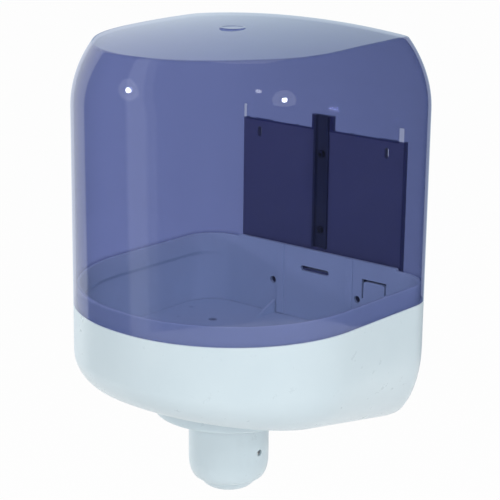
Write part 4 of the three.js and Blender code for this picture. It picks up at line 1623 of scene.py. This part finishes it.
class Screws:
    """Cross-recess screws with a real thread, made by one Geometry Nodes tree."""

    HEAD_HEIGHT = 0.0018
    SHANK_RADIUS = 0.00115
    THREAD_RADIUS = 0.0015
    PITCH = 0.0009
    POINT_SHARE = 0.4
    POINT_LENGTH = 0.8 * MM
    HEAD_EDGE = (0.1 * MM, 0.12 * MM)
    HEAD_DOME_SHARES = ((1.0, 0.45), (0.93, 0.7), (0.78, 0.88), (0.5, 0.98), (0.0, 1.0))
    RECESS_WIDTH = 0.7 * MM
    RECESS_DEPTH = 0.9 * MM
    RECESS_SHARE = 1.1
    THREAD_START = 0.6 * MM
    THREAD_LOSS = 1.3 * MM

    def __init__(self, lathe: Lathe) -> None:
        """Keeps the lathe and builds the tree."""
        self.lathe = lathe
        self.tree, self.inputs = geometry_tree("screw row", {
            "Blank": "NodeSocketObject",
            **dict.fromkeys((
                "Recess Width", "Recess Length", "Recess Depth", "Head Height",
                "Thread Radius", "Thread Length", "Turns", "Ridge",
            ), "NodeSocketFloat"),
            "Material": "NodeSocketMaterial",
        })
        wires = Wires(self.tree)
        given = wires.node("NodeGroupInput").outputs
        blank = wires.node("GeometryNodeObjectInfo", {"Object": given["Blank"]}, transform_space="ORIGINAL")
        depth = wires.number("MULTIPLY", given["Recess Depth"], 2.0)
        bars = []
        for sizes in (("Recess Length", "Recess Width"), ("Recess Width", "Recess Length")):
            size = wires.node("ShaderNodeCombineXYZ", {0: given[sizes[0]], 1: given[sizes[1]], 2: depth})
            bars.append(wires.node("GeometryNodeMeshCube", {"Size": size.outputs[0]}).outputs["Mesh"])
        up = wires.node("ShaderNodeCombineXYZ", {2: given["Head Height"]})
        raised = [
            wires.node("GeometryNodeTransform", {"Geometry": bar, "Translation": up.outputs[0]}).outputs[0]
            for bar in bars
        ]
        recessed = blank.outputs["Geometry"]
        for bar in raised:
            recessed = wires.node(
                "GeometryNodeMeshBoolean", {"Mesh 1": recessed, "Mesh 2": bar}, operation="DIFFERENCE"
            ).outputs["Mesh"]
        helix = wires.node("GeometryNodeCurveSpiral", {
            "Resolution": 14, "Rotations": given["Turns"], "Start Radius": given["Thread Radius"],
            "End Radius": given["Thread Radius"], "Height": given["Thread Length"],
        })
        ridge = wires.node("GeometryNodeCurvePrimitiveCircle", {"Resolution": 3, "Radius": given["Ridge"]})
        swept = wires.node("GeometryNodeCurveToMesh", {
            "Curve": helix.outputs[0], "Profile Curve": ridge.outputs[0], "Fill Caps": True,
        })
        drop = wires.number("ADD", given["Thread Length"], self.THREAD_START)
        down = wires.node("ShaderNodeCombineXYZ", {2: wires.number("MULTIPLY", drop, -1.0)})
        thread = wires.node("GeometryNodeTransform", {
            "Geometry": swept.outputs[0], "Translation": down.outputs[0],
        })
        whole = wires.node("GeometryNodeJoinGeometry")
        self.tree.links.new(recessed, whole.inputs[0])
        self.tree.links.new(thread.outputs[0], whole.inputs[0])
        way = wires.node("GeometryNodeInputNamedAttribute", {"Name": "way"}, data_type="FLOAT_VECTOR")
        turn = wires.node("FunctionNodeAlignRotationToVector", {"Vector": way.outputs[0]}, axis="Z")
        row = wires.node("GeometryNodeInstanceOnPoints", {
            "Points": given["Geometry"], "Instance": whole.outputs[0], "Rotation": turn.outputs[0],
        })
        real = wires.node("GeometryNodeRealizeInstances", {"Geometry": row.outputs[0]})
        dressed = wires.node(
            "GeometryNodeSetMaterial", {"Geometry": real.outputs[0], "Material": given["Material"]}
        )
        wires.node("NodeGroupOutput", {"Geometry": dressed.outputs[0]})

    def _blank(self, row: ScrewRow) -> bpy.types.Object:
        """Returns a hidden object with one screw's head and core, head up, seated at the origin."""
        inset, rise = self.HEAD_EDGE
        profile = [
            (0.0, -row.length), (self.SHANK_RADIUS * self.POINT_SHARE, -row.length),
            (self.SHANK_RADIUS, -row.length + self.POINT_LENGTH), (self.SHANK_RADIUS, 0.0),
            (row.head_radius - inset, 0.0), (row.head_radius, rise),
            *((row.head_radius * out, self.HEAD_HEIGHT * up) for out, up in self.HEAD_DOME_SHARES),
        ]
        body = self.lathe.body(profile, closed=False, steps=32)
        return placed("blank", body.mesh)

    def build(self, row: ScrewRow) -> None:
        """Makes one row of screws.

        Args:
            row: Where its screws are and what they stand for.
        """
        blank = self._blank(row)
        mesh = bpy.data.meshes.new("seats")
        mesh.from_pydata(row.seats, [], [])
        ways = mesh.attributes.new("way", "FLOAT_VECTOR", "POINT")
        for item, way in zip(ways.data, row.ways):
            item.vector = way
        length = row.length - self.THREAD_LOSS
        made = run_tree(mesh, self.tree, self.inputs, {
            "Blank": blank, "Recess Width": self.RECESS_WIDTH,
            "Recess Length": row.head_radius * self.RECESS_SHARE,
            "Recess Depth": self.RECESS_DEPTH, "Head Height": self.HEAD_HEIGHT,
            "Thread Radius": self.SHANK_RADIUS, "Thread Length": length, "Turns": length / self.PITCH,
            "Ridge": self.THREAD_RADIUS - self.SHANK_RADIUS, "Material": row.finish.material(),
        })
        bpy.data.objects.remove(blank)
        Piece(row.name, Body(made), row.finish, row.rides, row.nodes).build()


# Studio


@dataclass(frozen=True)
class Lamp:
    """One soft round lamp, which the gloss may show as a highlight."""

    name: str
    place: Spot
    size: float
    power: float
    mirrored: bool = True

    def build(self, target: Spot) -> None:
        """Hangs the lamp so that it faces the target."""
        light = bpy.data.lights.new(self.name, "AREA")
        light.shape, light.size, light.energy = "DISK", self.size, self.power
        holder = placed(self.name, light)
        holder.location = self.place
        holder.visible_glossy = self.mirrored
        way = Vector(target) - Vector(self.place)
        holder.rotation_euler = way.to_track_quat("-Z", "Y").to_euler()


@dataclass
class Studio:
    """Plain pale floor, soft light, cards for the gloss and the photograph's camera.

    The room lists what the cards show: a bearing in degrees, to the right of the way the camera looks, and
    its colour.
    """

    standoff: float
    target: Spot = (0.0, -0.115, 0.035)
    azimuth: float = 39.5814
    elevation: float = 15.1886
    roll: float = 0.7111
    distance: float = 1.39894
    shift_right: float = -0.0573
    shift_up: float = 0.01603
    focal_pixels: float = 1680.53
    picture_pixels: float = 500.0
    sensor: float = 36.0
    clip: Span = (0.05, 60.0)
    floor_z: float = -0.95
    floor_half: float = 9.0
    floor_color: Color = (0.9, 0.9, 0.9, 1.0)
    floor_glow: float = 0.97
    wall_radius: float = 2.3
    wall_top: float = 4.0
    wall_steps: int = 96
    dimmed: float = 0.76
    fill: Span = (0.23, 0.68)
    fill_span: Span = (-0.6, 1.0)
    fill_color: Color = (0.97, 0.985, 1.0, 1.0)
    fill_from: Spot = (0.55, -0.70, 0.45)
    room: tuple[Color, ...] = (
        (-180.0, 0.07, 0.08, 0.09), (-127.0, 0.07, 0.08, 0.09), (-125.0, 0.4, 0.42, 0.45),
        (-119.0, 0.4, 0.42, 0.45), (-117.0, 0.9, 0.94, 1.0), (-105.0, 0.9, 0.94, 1.0),
        (-103.0, 0.12, 0.13, 0.14), (-61.0, 0.12, 0.13, 0.14), (-59.0, 0.98, 1.0, 1.0),
        (-20.0, 0.8, 0.85, 0.95), (0.0, 0.68, 0.8, 0.88), (20.0, 0.5, 0.6, 0.7), (50.0, 0.07, 0.08, 0.09),
        (180.0, 0.07, 0.08, 0.09),
    )
    lamps: tuple[Lamp, ...] = (
        Lamp("key lamp", (1.09, -1.58, 1.61), 0.45, 11.0, mirrored=False),
        Lamp("front lamp", (0.94, -2.02, 0.9), 0.1, 3.5, mirrored=False),
        Lamp("low right lamp", (1.75, -0.45, -0.45), 0.4, 6.0, mirrored=False),
        Lamp("low left lamp", (-1.7, -0.3, -0.3), 0.4, 7.0, mirrored=False),
        Lamp("left lamp", (-1.252, -1.838, 0.308), 0.14, 4.4),
        Lamp("left halo", (-1.272, -1.867, 0.312), 0.65, 0.95),
        Lamp("right lamp", (2.096, -0.516, 1.041), 0.15, 4.0),
        Lamp("right halo", (2.138, -0.526, 1.062), 0.7, 1.3),
        Lamp("small lamp", (1.731, -1.009, 1.397), 0.14, 0.3),
        Lamp("rear lamp", (-2.04, 0.10, 0.95), 0.2, 6.0),
    )

    def _camera(self) -> None:
        """Places the camera where the photograph was taken from."""
        a, e, r = (math.radians(v) for v in (self.azimuth, self.elevation, self.roll))
        right = Vector((math.cos(a), math.sin(a), 0.0))
        up = Vector((-math.sin(a) * math.sin(e), math.cos(a) * math.sin(e), math.cos(e)))
        back = Vector((math.sin(a) * math.cos(e), -math.cos(a) * math.cos(e), math.sin(e)))
        across = right * math.cos(r) + up * math.sin(r)
        above = up * math.cos(r) - right * math.sin(r)
        camera = bpy.data.cameras.new("camera")
        camera.sensor_width = self.sensor
        camera.lens = self.sensor * self.focal_pixels / self.picture_pixels
        camera.clip_start, camera.clip_end = self.clip
        eye = placed("camera", camera)
        eye.rotation_mode = "QUATERNION"
        eye.rotation_quaternion = Matrix((across, above, back)).transposed().to_quaternion()
        eye.location = (
            back * self.distance + across * self.shift_right + above * self.shift_up
            - Vector((0.0, self.standoff, 0.0))
        )
        bpy.context.scene.camera = eye

    def _seen_rays(self, wires: Wires) -> Socket:
        """Finds the rays that see the backdrop: the camera's, mirrored ones and ones through glass.

        Args:
            wires: The tree's wires.

        Returns:
            A socket that is 1 for those rays and 0 for the others.
        """
        path = wires.node("ShaderNodeLightPath").outputs
        return wires.number("MAXIMUM", path["Is Camera Ray"], wires.number(
            "MAXIMUM", path["Is Glossy Ray"], path["Is Transmission Ray"]
        ))

    def _backdrop(self, wires: Wires) -> Socket:
        """Returns the backdrop's brightness: white, but dimmer where it is seen through the hood."""
        depth = wires.node("ShaderNodeLightPath").outputs["Transparent Depth"]
        return wires.number("MULTIPLY_ADD", wires.number("MINIMUM", depth, 1.0), self.dimmed - 1.0, 1.0)

    def _world(self) -> None:
        """Makes the surroundings: a white backdrop, and soft light that falls from one side."""
        world = bpy.data.worlds.new("studio")
        world.use_nodes = True
        wires = Wires(world.node_tree)
        way = wires.node("ShaderNodeTexCoord").outputs["Generated"]
        front = wires.along(way, self.fill_from)
        seen = wires.node("ShaderNodeBackground", {"Color": PURE_WHITE, "Strength": self._backdrop(wires)})
        power = wires.mapped(front, self.fill_span, self.fill, "SMOOTHSTEP")
        light = wires.node("ShaderNodeBackground", {"Color": self.fill_color, "Strength": power})
        whole = wires.blend(self._seen_rays(wires), light.outputs[0], seen.outputs[0])
        wires.node("ShaderNodeOutputWorld", {"Surface": whole})
        bpy.context.scene.world = world

    def _staged(
        self, name: str, points: Sequence[Spot], faces: Sequence[Sequence[int]]
    ) -> tuple[bpy.types.Object, Wires]:
        """Makes a part of the studio, which isn't part of the dispenser.

        Args:
            name: The name of the object and its material.
            points: The mesh's points.
            faces: The mesh's faces.

        Returns:
            The object, and the wires of its still empty material.
        """
        mesh = bpy.data.meshes.new(name)
        mesh.from_pydata(points, [], faces)
        made = placed(name, mesh)
        paint = bpy.data.materials.new(name)
        paint.use_nodes = True
        mesh.materials.append(paint)
        return made, Wires(paint.node_tree)

    def _floor(self) -> None:
        """Makes the floor, white to the camera but still taking the object's shadow."""
        half = self.floor_half
        corners = [(x * half, y * half, self.floor_z) for x, y in ((-1, -1), (1, -1), (1, 1), (-1, 1))]
        _, wires = self._staged("pale floor", corners, [(0, 1, 2, 3)])
        matt = wires.node("ShaderNodeBsdfDiffuse", {"Color": self.floor_color})
        glow = wires.node("ShaderNodeEmission", {"Strength": self._backdrop(wires)})
        share = wires.number("MULTIPLY", self._seen_rays(wires), self.floor_glow)
        whole = wires.blend(share, matt.outputs[0], glow.outputs[0])
        wires.node("ShaderNodeOutputMaterial", {"Surface": whole})

    def _cards(self) -> None:
        """Stands cards of light and shade round the studio, which only the gloss shows."""
        count = self.wall_steps
        turns = [2 * math.pi * k / count for k in range(count)]
        points = [
            (self.wall_radius * math.cos(t), self.wall_radius * math.sin(t), z)
            for z in (self.floor_z, self.wall_top) for t in turns
        ]
        faces = [(k, (k + 1) % count, (k + 1) % count + count, k + count) for k in range(count)]
        cards, wires = self._staged("room cards", points, faces)
        cards.visible_camera = cards.visible_diffuse = False
        cards.visible_transmission = cards.visible_shadow = False
        cards.active_material.cycles.emission_sampling = "NONE"
        a = math.radians(self.azimuth)
        place = wires.node("ShaderNodeNewGeometry").outputs["Position"]
        ahead = wires.along(place, (-math.sin(a), math.cos(a), 0.0))
        across = wires.along(place, (math.cos(a), math.sin(a), 0.0))
        turn = wires.number("MULTIPLY_ADD", wires.number("ARCTAN2", across, ahead), 0.5 / math.pi, 0.5)
        ramp = wires.node("ShaderNodeValToRGB", {"Fac": turn})
        stops = ramp.color_ramp.elements
        while len(stops) < len(self.room):
            stops.new(1.0)
        for stop, (degrees, *color) in zip(stops, self.room):
            stop.position, stop.color = 0.5 + degrees / 360, (*color, 1.0)
        glow = wires.node("ShaderNodeEmission", {"Color": ramp.outputs["Color"]})
        wires.node("ShaderNodeOutputMaterial", {"Surface": glow.outputs[0]})

    def build(self) -> None:
        """Sets up the studio."""
        self._camera()
        self._world()
        self._floor()
        self._cards()
        for lamp in self.lamps:
            lamp.build(self.target)
        bpy.context.scene.view_settings.view_transform = "Standard"


def screw_rows(plan: Plan, panel: BackPanel, support: RollSupport, nozzle: Nozzle) -> list[ScrewRow]:
    """Lists the dispenser's screws.

    Args:
        plan: The shared plan outline.
        panel: The back panel, for the rail's screws and its own.
        support: The roll support, for the screws in the tray's posts.
        nozzle: The nozzle, for its ring and side screws.

    Returns:
        The rows, in building order.
    """
    off, axis = -plan.standoff, plan.axis_y - plan.standoff
    up, front, rear = (0.0, 0.0, 1.0), (0.0, -1.0, 0.0), (0.0, 1.0, 0.0)
    x, z = panel.rear_screw
    ring_seat = nozzle.ring_top + nozzle.fit
    return [
        ScrewRow(
            "rail_screws", CadBody.WALL_UNIT, ("rail_screw_lower", "rail_screw_upper"),
            tuple((0.0, panel.rail_seat, height) for height in panel.screw_zs), (front,) * 2, length=0.0034,
            finish=BLACK_STEEL,
        ),
        ScrewRow(
            "panel_screws", CadBody.WALL_UNIT, ("panel_screw_left", "panel_screw_right"),
            ((-x, panel.rear_seat, z), (x, panel.rear_seat, z)), (rear,) * 2, length=0.005,
        ),
        ScrewRow(
            "support_screws", CadBody.WALL_UNIT, tuple(f"support_screw_{i}" for i in (1, 2, 3, 4)),
            tuple((px, py + off, support.screw_seat) for px, py in support.tray.post_places),
            (up,) * 4, length=0.008,
        ),
        ScrewRow(
            "ring_screws", CadBody.WALL_UNIT, tuple(f"ring_screw_{i}" for i in (1, 2, 3)),
            tuple((px, py + axis, ring_seat) for px, py in nozzle.ring_screws()), (up,) * 3, length=0.005,
        ),
        ScrewRow(
            "neck_screws", CadBody.NOZZLE, ("nozzle_screw_left", "nozzle_screw_right"),
            ((-nozzle.side_seat, axis, -nozzle.side_depth), (nozzle.side_seat, axis, -nozzle.side_depth)),
            ((-1.0, 0.0, 0.0), (1.0, 0.0, 0.0)), length=0.0025, head_radius=0.0022,
        ),
    ]


def main() -> None:
    """Builds the dispenser in order and reports each piece."""
    logging.basicConfig(level=logging.INFO, format="%(message)s")
    plan, lathe = Plan(), Lathe()
    Studio(plan.standoff).build()
    tray = Tray(plan, lathe)
    panel, support, nozzle = BackPanel(tray), RollSupport(plan, lathe, tray), Nozzle(plan, lathe)
    panel.build()
    tray.build()
    support.build(tray.post_places)
    nozzle.build()
    screws = Screws(lathe)
    for row in screw_rows(plan, panel, support, nozzle):
        screws.build(row)
    Hood(plan, lathe).build()


if __name__ == "__main__":
    main()
